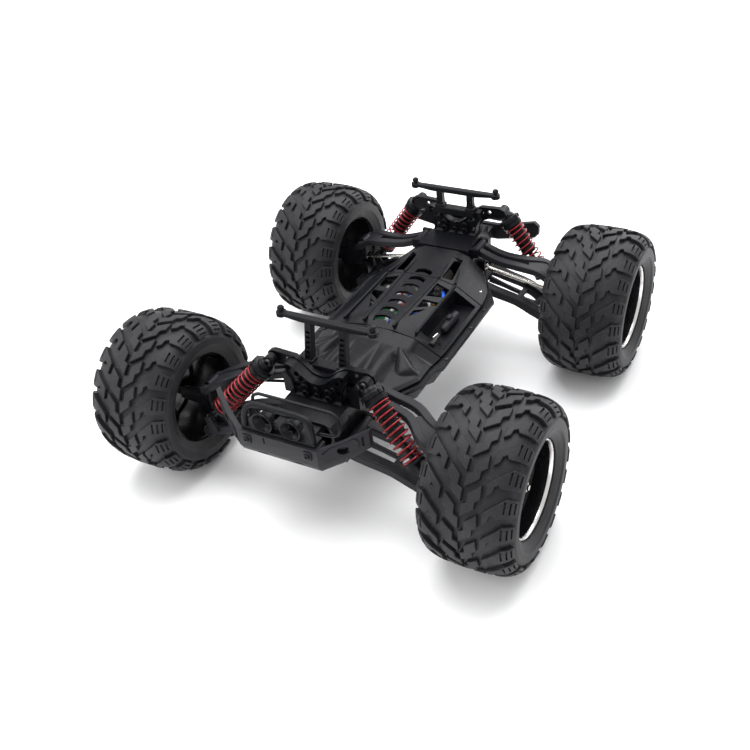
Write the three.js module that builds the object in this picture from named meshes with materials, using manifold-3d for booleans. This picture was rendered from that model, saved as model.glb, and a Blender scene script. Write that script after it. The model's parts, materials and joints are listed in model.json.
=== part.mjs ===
// Monster truck chassis without its body shell, in millimetres.
// X runs across the truck, its front looks along -Y, and +Z is up from the ground.
import * as THREE from 'three';
import { mergeVertices } from 'three/addons/utils/BufferGeometryUtils.js';
import Module from 'manifold-3d';

const wasm = await Module();
wasm.setup();

// Stance
const wheelbase = 206;
const front_track = 240;
const rear_track = 232;

// Clearances and small shared sizes
const fit_gap = 0.3;
const swing_gap = 0.7;
const overrun = 20;
const weld = 0.5;
const merge_gap = 0.0001;

// Tyre
const tyre_radius = 55;
const tyre_width = 62;
const bead_radius = 31.2;
const lug_depth = 2.6;
const lug_repeats = 12;
const steps_per_lug = 3;
const carcass_wall = 6.5;

// Rim
const rim_length = 50;
const rim_wall = 1.8;
const rim_sides = 18;
const disc_thickness = 3;
const disc_offset = 9;
const hub_boss_radius = 8;
const hub_boss_length = 10;
const spoke_count = 6;
const spoke_width = 9;
const axle_radius = 2.5;
const axle_seat = 7;

// Tub, the open tray that carries everything
const tub_half_width = 52;
const tub_back = 82.5;
const tub_front = 78;
const tub_bottom = 50;
const tub_height = 18;
const flange_thickness = 3;
const flange_width = 4;
const tub_wall = 2;
const floor_thickness = 2.5;
const tub_draft = 6;

// Covers over the tub
const cover_rise = 18.5;
const cover_wall = 2;
const crown_half = 13;
const cover_inset = 1;
const front_seam = 22;
const rear_seam = 45;
const slat_count = 7;
const slat_half = 6.2;
const slat_length = 4.6;
const slat_bow = 2.4;
const slat_first = 13;
const slat_last = 52;
const vent_inner = 15.5;
const vent_outer = 26;
const pocket_inner = 23;
const pocket_outer = 7;
const pocket_floor = 2.2;
const pocket_front = 15;
const pocket_back = 40;
const bulge_radius = 8.5;
const bulge_apex_radius = 3;
const bulge_inset = 9;
const bulge_front = 55;
const bulge_apex = 32;
const bulge_apex_x = 25;
const bulge_apex_z = 10;

// Bulkhead and gearbox that carry the arms
const carrier_half = 21.3;
const carrier_length = 44;
const carrier_roof = 29.2;
const upper_block_half = 20.6;
const upper_block_height = 11.8;
const tunnel_height = 10;
const gearbox_height = 40;
const gearbox_half = 19;
const hinge_radius = 4;
const upper_hinge_radius = 3.4;
const ear_thickness = 3;
const brace_half = 23;
const brace_height = 18;
const brace_length = 17;
const brace_wall = 2;
const brace_round = 6;

// Suspension arms
const root_half = 17;
const fork_half = 15.5;
const fork_gap_half = 5.6;
const arm_leg = 9;
const arm_thickness = 7;
const fork_depth = 9.5;
const tip_radius = 4.5;
const root_height = 8;
const kingpin_inset = 36;
const hub_drop = 16;
const hub_rise = 15;
const upper_leg_width = 4;
const upper_leg_height = 5;
const upper_root_half = 7.5;
const front_upper_set = 15.5;
const rear_upper_set = -6;
const upper_root_inset = 3.9;
const upper_bow = 5;

// Hub carriers and knuckles
const boss_half = 5;
const boss_radius = 4.4;
const spine_offset = 1.8;
const spine_thickness = 3.8;
const kingpin_offset = 3.5;
const tab_thickness = 3;
const tab_length = 8.5;
const knuckle_radius = 4.4;
const spindle_radius = 6;
const spindle_length = 24;
const steering_arm = 17.5;
const steering_arm_width = 5;
const steering_arm_height = 4;
const rear_hub_radius = 9;
const rear_hub_length = 22;
const cup_radius = 5.2;

// Drive shafts
const shaft_radius = 1.7;
const shaft_ball = 3;
const output_cup = 4.6;
const output_bore = 3.6;
const output_length = 5.3;
const output_height = 17.5;

// Shock absorbers
const eye_radius = 4;
const eye_half = 3;
const foot_radius = 3.4;
const foot_half = 2.6;
const neck_radius = 2;
const foot_back = 8.5;
const foot_rise = 10.5;
const foot_side = 12.5;
const lug_thickness = 2.4;
const collar_start = 7.5;
const collar_length = 6;
const collar_radius = 7.9;
const shock_radius = 5;
const shock_length = 27;
const shock_bore = 2.1;
const shock_shaft = 1.6;
const shaft_inside = 14;
const perch_radius = 7.4;
const perch_length = 2;
const perch_offset = 10.5;

// Springs
const spring_curls = 11;
const steps_per_curl = 8;
const wire_sides = 5;
const wire_radius = 0.6;
const coil_radius = 6.7;
const least_coil_gap = 0.4;

// Towers
const front_eye_half_span = 34.5;
const front_eye_height = 44;
const front_eye_set = 4.6;
const rear_eye_half_span = 34.5;
const rear_eye_height = 52;
const rear_eye_set = 17;
const tower_thickness = 4;
const tower_arm_drop = 11;
const rear_valley_drop = 2.4;
const tower_foot_half = 19;
const tower_end_radius = 5;
const tower_hole = 1.6;
const core_half = 14;
const core_depth = 7.5;
const core_hole = 2.8;

// Body mounts
const post_half_span = 12.4;
const post_width = 5;
const mount_bar_half = 33;
const mount_bar_height = 4;
const mount_bar_depth = 5;
const mount_top = 46.3;
const mount_base_height = 5.5;
const mount_base_half = 16;
const mount_base_depth = 7.5;
const post_hole = 1.1;
const post_hole_pitch = 4.4;
const mount_end_radius = 3.6;
const pin_radius = 1.5;
const pin_ball = 2.4;
const pin_height = 2;
const front_post_lean = 6;

// Front bumper and lamps
const bumper_reach = 25;
const bumper_half = 54;
const bumper_face_half = 28;
const bumper_low = 72;
const bumper_height = 12;
const bumper_wall = 4;
const bumper_lip = 5;
const bumper_tip_rise = 10;
const bumper_tip_sweep = 18;
const bumper_hole = 2.6;
const bumper_hole_span = 43.5;
const stay_half = 15;
const stay_height = 6;
const lamp_span = 9.7;
const lamp_radius = 6.5;
const lamp_wall = 1.2;
const lamp_depth = 9;
const lamp_back = 2;
const hoop_half = 24;
const hoop_height = 16;
const hoop_radius = 2;
const pod_base_height = 2;
const deck_depth = 6.5;
const deck_web = 6;
const hoop_lean = 3;

// Rear bumper
const tail_reach = 26;
const tail_half = 56;
const tail_height = 13;
const tail_low = 66;
const tail_rise = 13;
const tail_sweep = 10;
const tail_wall = 4;
const tail_stay_half = 14;
const tail_stay = 9;
const tail_round = 3.5;

// Things in the tub
const battery_front = 19;
const battery_length = 46;
const battery_height = 15;
const battery_span_shares = [-0.075, 0.825];
const board_front = 19;
const board_length = 46;
const board_height = 11;
const board_span_shares = [-0.9, -0.2];
const motor_radius = 12.5;
const motor_length = 38;
const motor_left = -32;
const motor_y = 42;
const motor_gap = 2.5;
const motor_boss = 4;
const boss_length = 2;
const gear_module = 1.2;
const pinion_teeth = 7;
const spur_teeth = 23;
const gear_width = 4;
const gear_backlash = 0.28;
const gear_tilt = 0.17;
const pinion_shaft = 1.2;
const spur_shaft = 2.4;
const gear_post = 3;
const gear_post_depth = 11;
const servo_size = new THREE.Vector3(22, 22, 18.5);
const servo_axis = 60;
const servo_front = 65.5;
const servo_boss = 3;
const horn_thickness = 2.4;
const horn_half = 2.6;
const horn_way_half = 6.5;
const rack_half = 20;
const rack_width = 5;
const rack_height = 4;
const rack_rise = 21.5;
const tie_radius = 1.1;
const tie_end = 2.8;
const tie_end_height = 3.4;
const tie_gap = 0.9;
const latch_radius = 3;
const latch_length = 24;
const latch_lug = 5;
const latch_tab = 2;
const latch_start = 2;
const latch_travel = 7;

// Worked-out places
const axle_z = tyre_radius;
const tub_top = tub_bottom + tub_height;
const cover_base = tub_top + fit_gap;
const tub_floor = tub_bottom + floor_thickness;
const front_y = -wheelbase / 2;
const rear_y = wheelbase / 2;
const motor_z = tub_floor + motor_radius + fit_gap;
const gear_x = motor_left + motor_length + motor_gap;
const gear_span = gear_module * (pinion_teeth + spur_teeth) / 2 + gear_backlash;
const spur_y = motor_y + gear_span * Math.cos(gear_tilt);
const spur_z = motor_z + gear_span * Math.sin(gear_tilt);

// Materials
const finish = {
  rubber: new THREE.MeshStandardMaterial({ color: 0x1c1d1f, roughness: 0.85, metalness: 0 }),
  rim: new THREE.MeshStandardMaterial({ color: 0x141416, roughness: 0.45, metalness: 0.1 }),
  plastic: new THREE.MeshStandardMaterial({ color: 0x232427, roughness: 0.55, metalness: 0 }),
  arm: new THREE.MeshStandardMaterial({ color: 0x2a2b2f, roughness: 0.5, metalness: 0 }),
  shock: new THREE.MeshStandardMaterial({ color: 0x1a1b1d, roughness: 0.4, metalness: 0.1 }),
  spring: new THREE.MeshStandardMaterial({ color: 0xb01226, roughness: 0.35, metalness: 0.4 }),
  steel: new THREE.MeshStandardMaterial({ color: 0xb4b2ae, roughness: 0.25, metalness: 1 }),
  battery: new THREE.MeshStandardMaterial({ color: 0x1f4fa8, roughness: 0.3, metalness: 0 }),
  board: new THREE.MeshStandardMaterial({ color: 0x2f7a3a, roughness: 0.5, metalness: 0 }),
  gear: new THREE.MeshStandardMaterial({ color: 0x8d8a82, roughness: 0.4, metalness: 0.8 }),
};

// Geometry helpers

function signedVolume(positions, index) {
  const a = new THREE.Vector3();
  const b = new THREE.Vector3();
  const c = new THREE.Vector3();
  let total = 0;
  for (let i = 0; i < index.length; i += 3) {
    a.fromArray(positions, index[i] * 3);
    b.fromArray(positions, index[i + 1] * 3);
    c.fromArray(positions, index[i + 2] * 3);
    total += a.dot(b.cross(c));
  }
  return total;
}

// A closed solid with merged corners and its faces pointing out.
function toSolid(geometry) {
  const bare = geometry.clone();
  bare.deleteAttribute('normal');
  bare.deleteAttribute('uv');
  const merged = mergeVertices(bare, merge_gap);
  const positions = Float32Array.from(merged.attributes.position.array);
  const index = [];
  const source = merged.index.array;
  for (let i = 0; i < source.length; i += 3) {
    const [a, b, c] = [source[i], source[i + 1], source[i + 2]];
    if (a !== b && b !== c && c !== a) index.push(a, b, c);
  }
  if (signedVolume(positions, index) < 0) index.reverse();
  const mesh = new wasm.Mesh({ numProp: 3, vertProperties: positions, triVerts: Uint32Array.from(index) });
  return new wasm.Manifold(mesh);
}

function join(...solids) {
  return solids.reduce((whole, piece) => whole.add(piece));
}

function cut(base, ...tools) {
  return tools.reduce((whole, tool) => whole.subtract(tool), base);
}

function block(x0, x1, y0, y1, z0, z1) {
  const geometry = new THREE.BoxGeometry(Math.abs(x1 - x0), Math.abs(y1 - y0), Math.abs(z1 - z0));
  geometry.translate((x0 + x1) / 2, (y0 + y1) / 2, (z0 + z1) / 2);
  return toSolid(geometry);
}

// A round bar between two points.
function bar(from, to, radius, sides = 10, end_radius = radius) {
  const along = to.clone().sub(from);
  const geometry = new THREE.CylinderGeometry(end_radius, radius, along.length(), sides, 1);
  geometry.translate(0, along.length() / 2, 0);
  geometry.applyQuaternion(new THREE.Quaternion().setFromUnitVectors(new THREE.Vector3(0, 1, 0), along.normalize()));
  geometry.translate(from.x, from.y, from.z);
  return toSolid(geometry);
}

// Corners of a closed outline, turned the wanted way round.
function wound(points, clockwise) {
  const corners = points.map(([a, b]) => new THREE.Vector2(a, b));
  return THREE.ShapeUtils.isClockWise(corners) === clockwise ? corners : corners.reverse();
}

function outlineShape(points, holes = []) {
  const shape = new THREE.Shape(wound(points, false));
  for (const hole of holes) shape.holes.push(new THREE.Path(wound(hole, true)));
  return shape;
}

// A plate lying flat, from z0 up to z1.
function flatPlate(points, z0, z1, holes = []) {
  const geometry = new THREE.ExtrudeGeometry(outlineShape(points, holes), { depth: z1 - z0, bevelEnabled: false });
  geometry.translate(0, 0, z0);
  return toSolid(geometry);
}

// A plate standing across the truck, outline in X and Z, from y0 back to y1.
function crossPlate(points, y0, y1, holes = []) {
  const geometry = new THREE.ExtrudeGeometry(outlineShape(points, holes), { depth: y1 - y0, bevelEnabled: false });
  geometry.rotateX(Math.PI / 2);
  geometry.translate(0, y1, 0);
  return toSolid(geometry);
}

// Corners of a circle, for outlines and holes.
function circle(cx, cy, radius, sides = 8, turn = 0) {
  return Array.from({ length: sides }, (_, i) => {
    const angle = turn + (2 * Math.PI * i) / sides;
    return [cx + radius * Math.cos(angle), cy + radius * Math.sin(angle)];
  });
}

// A shape on the truck's right, with the same points mirrored to its left.
function mirrored(half) {
  return [...half, ...half.map(([a, b]) => [-a, b]).reverse()];
}

// Triangles over rings of equal point counts; open ends get a fan of triangles.
function ringsGeometry(rings, closed_loop = false) {
  const positions = rings.flat(2);
  const count = rings[0].length;
  const index = [];
  const spans = closed_loop ? rings.length : rings.length - 1;
  for (let r = 0; r < spans; r += 1) {
    const here = r * count;
    const next = ((r + 1) % rings.length) * count;
    for (let i = 0; i < count; i += 1) {
      const j = (i + 1) % count;
      index.push(here + i, here + j, next + i, here + j, next + j, next + i);
    }
  }
  if (!closed_loop) {
    const last = (rings.length - 1) * count;
    for (let i = 1; i < count - 1; i += 1) {
      index.push(0, i + 1, i, last, last + i, last + i + 1);
    }
  }
  const geometry = new THREE.BufferGeometry();
  geometry.setAttribute('position', new THREE.Float32BufferAttribute(positions, 3));
  geometry.setIndex(index);
  return geometry;
}

function loft(rings) {
  return toSolid(ringsGeometry(rings));
}

// A bar with rectangular sections that follows points across the truck.
function limb(points, width, height) {
  const rings = points.map((point, i) => {
    const before = points[Math.max(i - 1, 0)];
    const after = points[Math.min(i + 1, points.length - 1)];
    const tangent = after.clone().sub(before).normalize();
    const side = new THREE.Vector3(0, 1, 0).addScaledVector(tangent, -tangent.y).normalize();
    const up = new THREE.Vector3().crossVectors(tangent, side).normalize();
    return [[1, 1], [-1, 1], [-1, -1], [1, -1]].map(([a, b]) => point.clone()
      .addScaledVector(side, (a * width) / 2).addScaledVector(up, (b * height) / 2).toArray());
  });
  return loft(rings);
}

// A turned piece: radii at distances along a line from a start point.
function turned(start, direction, profile, sides) {
  const upright = new THREE.Vector3(0, 0, 1);
  const reference = Math.abs(direction.y) > Math.abs(direction.z) ? upright : new THREE.Vector3(0, 1, 0);
  const u = reference.clone().addScaledVector(direction, -reference.dot(direction)).normalize();
  const v = new THREE.Vector3().crossVectors(direction, u);
  const rings = profile.map(([distance, radius]) => Array.from({ length: sides }, (_, i) => {
    const angle = (2 * Math.PI * i) / sides;
    const point = start.clone().addScaledVector(direction, distance);
    point.addScaledVector(u, radius * Math.cos(angle)).addScaledVector(v, radius * Math.sin(angle));
    return point.toArray();
  }));
  return loft(rings);
}

// The truck's group of named meshes
const truck = new THREE.Group();

function addGeometry(name, geometry, material) {
  geometry.computeVertexNormals();
  const mesh = new THREE.Mesh(geometry, material);
  mesh.name = name;
  truck.add(mesh);
}

function add(name, solid, material) {
  const mesh = solid.getMesh();
  const geometry = new THREE.BufferGeometry();
  geometry.setAttribute('position', new THREE.BufferAttribute(mesh.vertProperties, 3));
  geometry.setIndex(new THREE.BufferAttribute(mesh.triVerts, 1));
  addGeometry(name, geometry, material);
}

// Wheels

// The tyre is a hollow carcass, open at its bore, with a tread of staggered lugs.
function tyreGeometry(hub) {
  const half = tyre_width / 2;
  const steps = lug_repeats * steps_per_lug;
  const step_angle = (2 * Math.PI) / steps;
  const outer_radius = tyre_radius / Math.cos(step_angle / 2);
  const section_shares = [
    [-0.83, 0, 0], [-1, 0.42, 0], [-0.95, 0.76, 1], [-0.68, 0.94, 1], [-0.24, 1, 0],
    [0.24, 1, 0], [0.68, 0.94, 1], [0.95, 0.76, 1], [1, 0.42, 0], [0.83, 0, 0],
  ];
  const tread_rows = [2, 3, 4, 5, 6, 7];
  const lining_half = half - carcass_wall;
  const lining_radius = outer_radius - carcass_wall - lug_depth;
  const rows = section_shares.map(([x_share, rise_share, shift], row) => ({
    x: x_share * half,
    radius: bead_radius + rise_share * (outer_radius - bead_radius),
    shift,
    tread: tread_rows.includes(row),
  }));
  rows.push({ x: lining_half, radius: lining_radius, shift: 0, tread: false });
  rows.push({ x: -lining_half, radius: lining_radius, shift: 0, tread: false });
  const rings = Array.from({ length: steps }, (_, step) => rows.map((row) => {
    const angle = (step + 0.5) * step_angle;
    const groove = row.tread && (step + row.shift) % steps_per_lug === 1;
    const radius = row.radius - (groove ? lug_depth : 0);
    return [hub.x + row.x, hub.y + radius * Math.cos(angle), hub.z + radius * Math.sin(angle)];
  }));
  return ringsGeometry(rings, true);
}

// The rim is a barrel with a spoked disc set towards its outer end.
function rimSolid(hub, side) {
  const out = new THREE.Vector3(side, 0, 0);
  const at = (distance) => hub.clone().addScaledVector(out, distance);
  const outer = (bead_radius - fit_gap) * Math.cos(Math.PI / (lug_repeats * steps_per_lug));
  const inner = outer - rim_wall;
  const end = rim_length / 2;
  const barrel = cut(
    bar(at(-end), at(end), outer, rim_sides),
    bar(at(-end - overrun), at(end + overrun), inner, rim_sides),
  );
  const boss_start = disc_offset - (hub_boss_length - disc_thickness) / 2;
  const boss = bar(at(boss_start), at(boss_start + hub_boss_length), hub_boss_radius, 10);
  const spokes = Array.from({ length: spoke_count }, (_, i) => {
    const reach = inner + rim_wall / 2;
    const geometry = new THREE.BoxGeometry(disc_thickness, reach, spoke_width);
    geometry.translate(disc_offset + disc_thickness / 2, reach / 2, 0);
    geometry.rotateX((2 * Math.PI * i) / spoke_count);
    geometry.scale(side, 1, 1);
    geometry.translate(hub.x, hub.y, hub.z);
    return toSolid(geometry);
  });
  const seat = bar(at(boss_start - overrun), at(boss_start + axle_seat + fit_gap), axle_radius + fit_gap, 8);
  return cut(join(barrel, boss, ...spokes), seat);
}

// Suspension places of one axle, for the truck's left side; X is mirrored for its right.
function axleLayout(name, axle_y, track, shock_side, roof_z, eye_span, eye_height, eye_set) {
  const lower_root = new THREE.Vector3(carrier_half + hinge_radius + fit_gap, axle_y, tub_bottom + root_height);
  const lower_tip = new THREE.Vector3(track / 2 - kingpin_inset, axle_y, axle_z - hub_drop);
  const upper_tip = new THREE.Vector3(track / 2 - kingpin_inset, axle_y, axle_z + hub_rise);
  const upper_root = new THREE.Vector3(upper_block_half + upper_hinge_radius + fit_gap, axle_y, roof_z - upper_root_inset);
  const eye = new THREE.Vector3(eye_span, axle_y + eye_set, axle_z + eye_height);
  return { name, axle_y, track, shock_side, lower_root, lower_tip, upper_root, upper_tip, eye };
}

const bulkhead_top = tub_bottom + carrier_roof + upper_block_height;
const gearbox_top = tub_bottom + gearbox_height;
const front_axle = axleLayout('front', front_y, front_track, -1, bulkhead_top,
  front_eye_half_span, front_eye_height, front_eye_set);
const rear_axle = axleLayout('rear', rear_y, rear_track, 1, gearbox_top,
  rear_eye_half_span, rear_eye_height, rear_eye_set);

// Turns a place on the left side into the same place on either side.
function onSide(point, side) {
  return new THREE.Vector3(point.x * side, point.y, point.z);
}

// The frame of an arm: u runs out along it, v along the truck and w out of its top face.
function armFrame(root, tip, side) {
  const span = Math.hypot(tip.x - root.x, tip.z - root.z);
  const u = new THREE.Vector3((tip.x - root.x) / span * side, 0, (tip.z - root.z) / span);
  const v = new THREE.Vector3(0, 1, 0);
  const w = new THREE.Vector3(-(tip.z - root.z) / span * side, 0, (tip.x - root.x) / span);
  const place = new THREE.Matrix4().makeBasis(u, v, w).setPosition(root.x * side, root.y, root.z);
  return { span, place };
}

function placed(geometry, place) {
  geometry.applyMatrix4(place);
  return toSolid(geometry);
}

// The lower end of a shock, on the arm's outer end.
function shockFoot(axle, side) {
  const { span, place } = armFrame(axle.lower_root, axle.lower_tip, side);
  return new THREE.Vector3(span - foot_back, axle.shock_side * foot_side, foot_rise).applyMatrix4(place);
}

function lowerArm(axle, side) {
  const { span, place } = armFrame(axle.lower_root, axle.lower_tip, side);
  const end = span + tip_radius;
  const notch = span - fork_depth;
  const outline = [
    [0, root_half], [end - tip_radius, fork_half], [end, fork_half], [end, fork_gap_half],
    [notch, fork_gap_half], [notch, -fork_gap_half], [end, -fork_gap_half], [end, -fork_half],
    [end - tip_radius, -fork_half], [0, -root_half],
  ];
  const window_end = notch - arm_leg / 2;
  const window = [
    [arm_leg, root_half - arm_leg], [window_end, fork_half - arm_leg],
    [window_end, arm_leg - fork_half], [arm_leg, arm_leg - root_half],
  ];
  const plate = new THREE.ExtrudeGeometry(outlineShape(outline, [window]), { depth: arm_thickness, bevelEnabled: false });
  plate.translate(0, 0, -arm_thickness / 2);
  const root = new THREE.CylinderGeometry(hinge_radius, hinge_radius, 2 * root_half, 12);
  const lug_rise = foot_rise + foot_radius / 2;
  const lug_v = foot_side - foot_half - swing_gap - lug_thickness / 2;
  const lug = new THREE.BoxGeometry(2 * foot_radius, lug_thickness, lug_rise);
  lug.translate(span - foot_back, axle.shock_side * lug_v, lug_rise / 2);
  return join(placed(plate, place), placed(root, place), placed(lug, place));
}

// The upper arm is a pair of curved legs that meet in a fork.
function upperArm(axle, side, root_shift) {
  const root = axle.upper_root;
  const tip = axle.upper_tip;
  const y_root = axle.axle_y + root_shift;
  const run_shares = [0, 0.3, 0.62, 0.86, 1];
  const sweep_shares = [0, 0, 0.15, 1, 1];
  const bow_shares = [0, 0.15, -0.3, -0.5, 0];
  const leg = (root_offset, tip_offset) => limb(run_shares.map((run, i) => new THREE.Vector3(
    side * (root.x + run * (tip.x - root.x)),
    y_root + root_offset + sweep_shares[i] * (axle.axle_y + tip_offset - y_root - root_offset),
    root.z + run * (tip.z - root.z) - bow_shares[i] * upper_bow,
  )), upper_leg_width, upper_leg_height);
  const root_offset = upper_root_half - upper_leg_width / 2;
  const tip_offset = fork_gap_half + upper_leg_width / 2;
  const barrel = bar(
    onSide(root, side).setY(y_root - upper_root_half),
    onSide(root, side).setY(y_root + upper_root_half),
    upper_hinge_radius,
  );
  const ends = [-1, 1].map((way) => bar(
    onSide(tip, side).setY(axle.axle_y + way * fork_gap_half),
    onSide(tip, side).setY(axle.axle_y + way * (fork_gap_half + upper_leg_width)),
    upper_leg_height / 2 + weld,
  ));
  const bridge_x = tip.x - fork_depth;
  const bridge_z = tip.z - (tip.z - root.z) * fork_depth / (tip.x - root.x);
  const bridge = block(
    side * (bridge_x - arm_leg / 2), side * bridge_x,
    axle.axle_y - fork_gap_half, axle.axle_y + fork_gap_half,
    bridge_z - upper_leg_height / 2, bridge_z + upper_leg_height / 2,
  );
  return join(barrel, leg(-root_offset, -tip_offset), leg(root_offset, tip_offset), bridge, ...ends);
}

// Hubs

function wheelCentre(axle, side) {
  return new THREE.Vector3(side * axle.track / 2, axle.axle_y, axle_z);
}

// The stub axle that reaches into the wheel's boss.
function stubAxle(axle, side, start_x) {
  const hub = wheelCentre(axle, side);
  const boss_start = disc_offset - (hub_boss_length - disc_thickness) / 2;
  const end = hub.clone().setX(side * (axle.track / 2 + boss_start + axle_seat));
  return bar(hub.clone().setX(side * start_x), end, axle_radius, 8);
}

function hubBosses(axle, side) {
  return [axle.lower_tip, axle.upper_tip].map((tip) => bar(
    onSide(tip, side).setY(axle.axle_y - boss_half),
    onSide(tip, side).setY(axle.axle_y + boss_half),
    boss_radius,
  ));
}

const tab_inset = boss_radius / 2;

// A C-shaped carrier that holds the steering knuckle between two tabs.
function frontCarrier(axle, side) {
  const { lower_tip, upper_tip } = axle;
  const spine_out = lower_tip.x - spine_offset;
  const spine = block(
    side * (spine_out - spine_thickness), side * spine_out,
    axle.axle_y - boss_half, axle.axle_y + boss_half,
    lower_tip.z, upper_tip.z,
  );
  const tab = (z0, z1) => block(
    side * (spine_out - weld), side * (lower_tip.x + tab_length),
    axle.axle_y - boss_half, axle.axle_y + boss_half, z0, z1,
  );
  const low = lower_tip.z + tab_inset;
  const high = upper_tip.z - tab_inset;
  return join(...hubBosses(axle, side), spine, tab(low, low + tab_thickness), tab(high - tab_thickness, high));
}

function knucklePlace(axle, side) {
  const x = side * (axle.lower_tip.x + kingpin_offset);
  const z0 = axle.lower_tip.z + tab_inset + tab_thickness + fit_gap;
  const z1 = axle.upper_tip.z - tab_inset - tab_thickness - fit_gap;
  return { x, z0, z1 };
}

function frontKnuckle(axle, side) {
  const { x, z0, z1 } = knucklePlace(axle, side);
  const y = axle.axle_y;
  const post = bar(new THREE.Vector3(x, y, z0), new THREE.Vector3(x, y, z1), knuckle_radius);
  const snout_end = Math.abs(x) + spindle_length;
  const snout = bar(
    new THREE.Vector3(x, y, axle_z), new THREE.Vector3(side * snout_end, y, axle_z),
    spindle_radius, 10, spindle_radius * 0.75,
  );
  const arm_x = x + side * (steering_arm_width / 2 - weld);
  const arm = block(
    arm_x - steering_arm_width / 2, arm_x + steering_arm_width / 2, y, y + steering_arm,
    axle_z - steering_arm_height / 2, axle_z + steering_arm_height / 2,
  );
  const eye = bar(
    new THREE.Vector3(arm_x, y + steering_arm, axle_z - steering_arm_height / 2),
    new THREE.Vector3(arm_x, y + steering_arm, axle_z + steering_arm_height / 2), tie_end,
  );
  return join(post, snout, arm, eye, stubAxle(axle, side, snout_end - weld));
}

// The rear hub has a cup on its inner side for the drive shaft.
function rearHub(axle, side) {
  const { lower_tip, upper_tip } = axle;
  const centre = wheelCentre(axle, side);
  const inner = lower_tip.x - spine_offset - weld;
  const at = (x) => centre.clone().setX(side * x);
  const body = bar(at(inner + spine_thickness - weld), at(inner + rear_hub_length), rear_hub_radius, 12);
  const snout_end = inner + rear_hub_length + spindle_length / 2;
  const snout = bar(at(inner + rear_hub_length - weld), at(snout_end), spindle_radius, 10, spindle_radius * 0.75);
  const spine = block(
    side * inner, side * (inner + spine_thickness),
    axle.axle_y - boss_half, axle.axle_y + boss_half, lower_tip.z, upper_tip.z,
  );
  const cup = bar(at(inner - overrun), at(lower_tip.x + rear_hub_length / 2), cup_radius, 12);
  return cut(join(...hubBosses(axle, side), body, snout, spine, stubAxle(axle, side, snout_end - weld)), cup);
}

// A drive shaft with a ball at each end, from the gearbox into the hub's cup.
function driveShaft(axle, side) {
  const start = new THREE.Vector3(
    side * (carrier_half + fit_gap + shaft_ball), axle.axle_y, tub_bottom + output_height,
  );
  const end = new THREE.Vector3(side * (axle.lower_tip.x + shaft_ball), axle.axle_y, axle_z);
  const along = end.clone().sub(start);
  const length = along.length();
  along.normalize();
  const ball_shares = [[-1, 0.45], [-0.7, 0.8], [0, 1], [0.7, 0.8]];
  const profile = [
    ...ball_shares.map(([place, size]) => [place * shaft_ball, size * shaft_ball]),
    [shaft_ball, shaft_radius], [length - shaft_ball, shaft_radius],
    ...ball_shares.map(([place, size]) => [length - place * shaft_ball, size * shaft_ball]).reverse(),
  ];
  return turned(start, along, profile, 8);
}

// Shock absorbers

function shockLine(axle, side) {
  const top = onSide(axle.eye, side);
  const foot = shockFoot(axle, side);
  const along = foot.clone().sub(top);
  const length = along.length();
  return { top, foot, along: along.normalize(), length };
}

const body_end = collar_start + collar_length + shock_length;

function shockBody(line) {
  const { top, along } = line;
  const across = new THREE.Vector3(0, eye_half, 0);
  const eye = bar(top.clone().sub(across), top.clone().add(across), eye_radius);
  const barrel = turned(top, along, [
    [0, eye_radius * 0.7], [collar_start, eye_radius * 0.7], [collar_start, collar_radius * 0.8],
    [collar_start + weld, collar_radius], [collar_start + collar_length, collar_radius],
    [collar_start + collar_length, shock_radius], [body_end, shock_radius],
  ], 8);
  const bore_start = collar_start + collar_length / 2;
  const bore = turned(top, along, [[bore_start, shock_bore], [body_end + overrun, shock_bore]], 6);
  return cut(join(eye, barrel), bore);
}

function shockRod(line) {
  const { top, foot, along, length } = line;
  const across = new THREE.Vector3(0, foot_half, 0);
  const eye = bar(foot.clone().sub(across), foot.clone().add(across), foot_radius);
  const perch = length - perch_offset;
  const shaft = turned(top, along, [
    [body_end - shaft_inside, shock_shaft], [perch - perch_length, shock_shaft],
    [perch - perch_length, perch_radius], [perch, perch_radius],
    [perch, neck_radius], [length, neck_radius],
  ], 10);
  return join(eye, shaft);
}

let least_gap = Infinity;

// One unbroken wire: straight at its two ends, wound between them.
function springGeometry(line) {
  const { top, along, length } = line;
  const first = collar_start + collar_length + fit_gap;
  const last = length - perch_offset - perch_length - fit_gap;
  const straight = 2 * wire_radius;
  const wound = last - first - 2 * straight;
  const u = new THREE.Vector3(0, 1, 0).addScaledVector(along, -along.y).normalize();
  const v = new THREE.Vector3().crossVectors(along, u);
  const steps = spring_curls * steps_per_curl;
  const place = (distance, turn) => ({
    radial: u.clone().multiplyScalar(Math.cos(turn)).addScaledVector(v, Math.sin(turn)),
    distance,
  });
  const spots = [place(first, 0)];
  for (let i = 0; i <= steps; i += 1) {
    spots.push(place(first + straight + (wound * i) / steps, (2 * Math.PI * i) / steps_per_curl));
  }
  spots.push(place(last, 2 * Math.PI * spring_curls));
  const centres = spots.map(({ radial, distance }) => (
    top.clone().addScaledVector(along, distance).addScaledVector(radial, coil_radius)
  ));
  for (let i = 0; i + steps_per_curl < centres.length; i += 1) {
    least_gap = Math.min(least_gap, centres[i].distanceTo(centres[i + steps_per_curl]) - 2 * wire_radius);
  }
  const rings = centres.map((centre, i) => {
    const before = centres[Math.max(i - 1, 0)];
    const after = centres[Math.min(i + 1, centres.length - 1)];
    const end = i === 0 || i === centres.length - 1;
    const tangent = end ? along.clone() : after.clone().sub(before).normalize();
    const out = spots[i].radial.clone().addScaledVector(tangent, -spots[i].radial.dot(tangent)).normalize();
    const aside = new THREE.Vector3().crossVectors(tangent, out);
    return Array.from({ length: wire_sides }, (_, k) => {
      const angle = (2 * Math.PI * k) / wire_sides;
      return centre.clone().addScaledVector(out, wire_radius * Math.cos(angle))
        .addScaledVector(aside, wire_radius * Math.sin(angle)).toArray();
    });
  });
  return ringsGeometry(rings);
}

// Structure at the two ends

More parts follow.
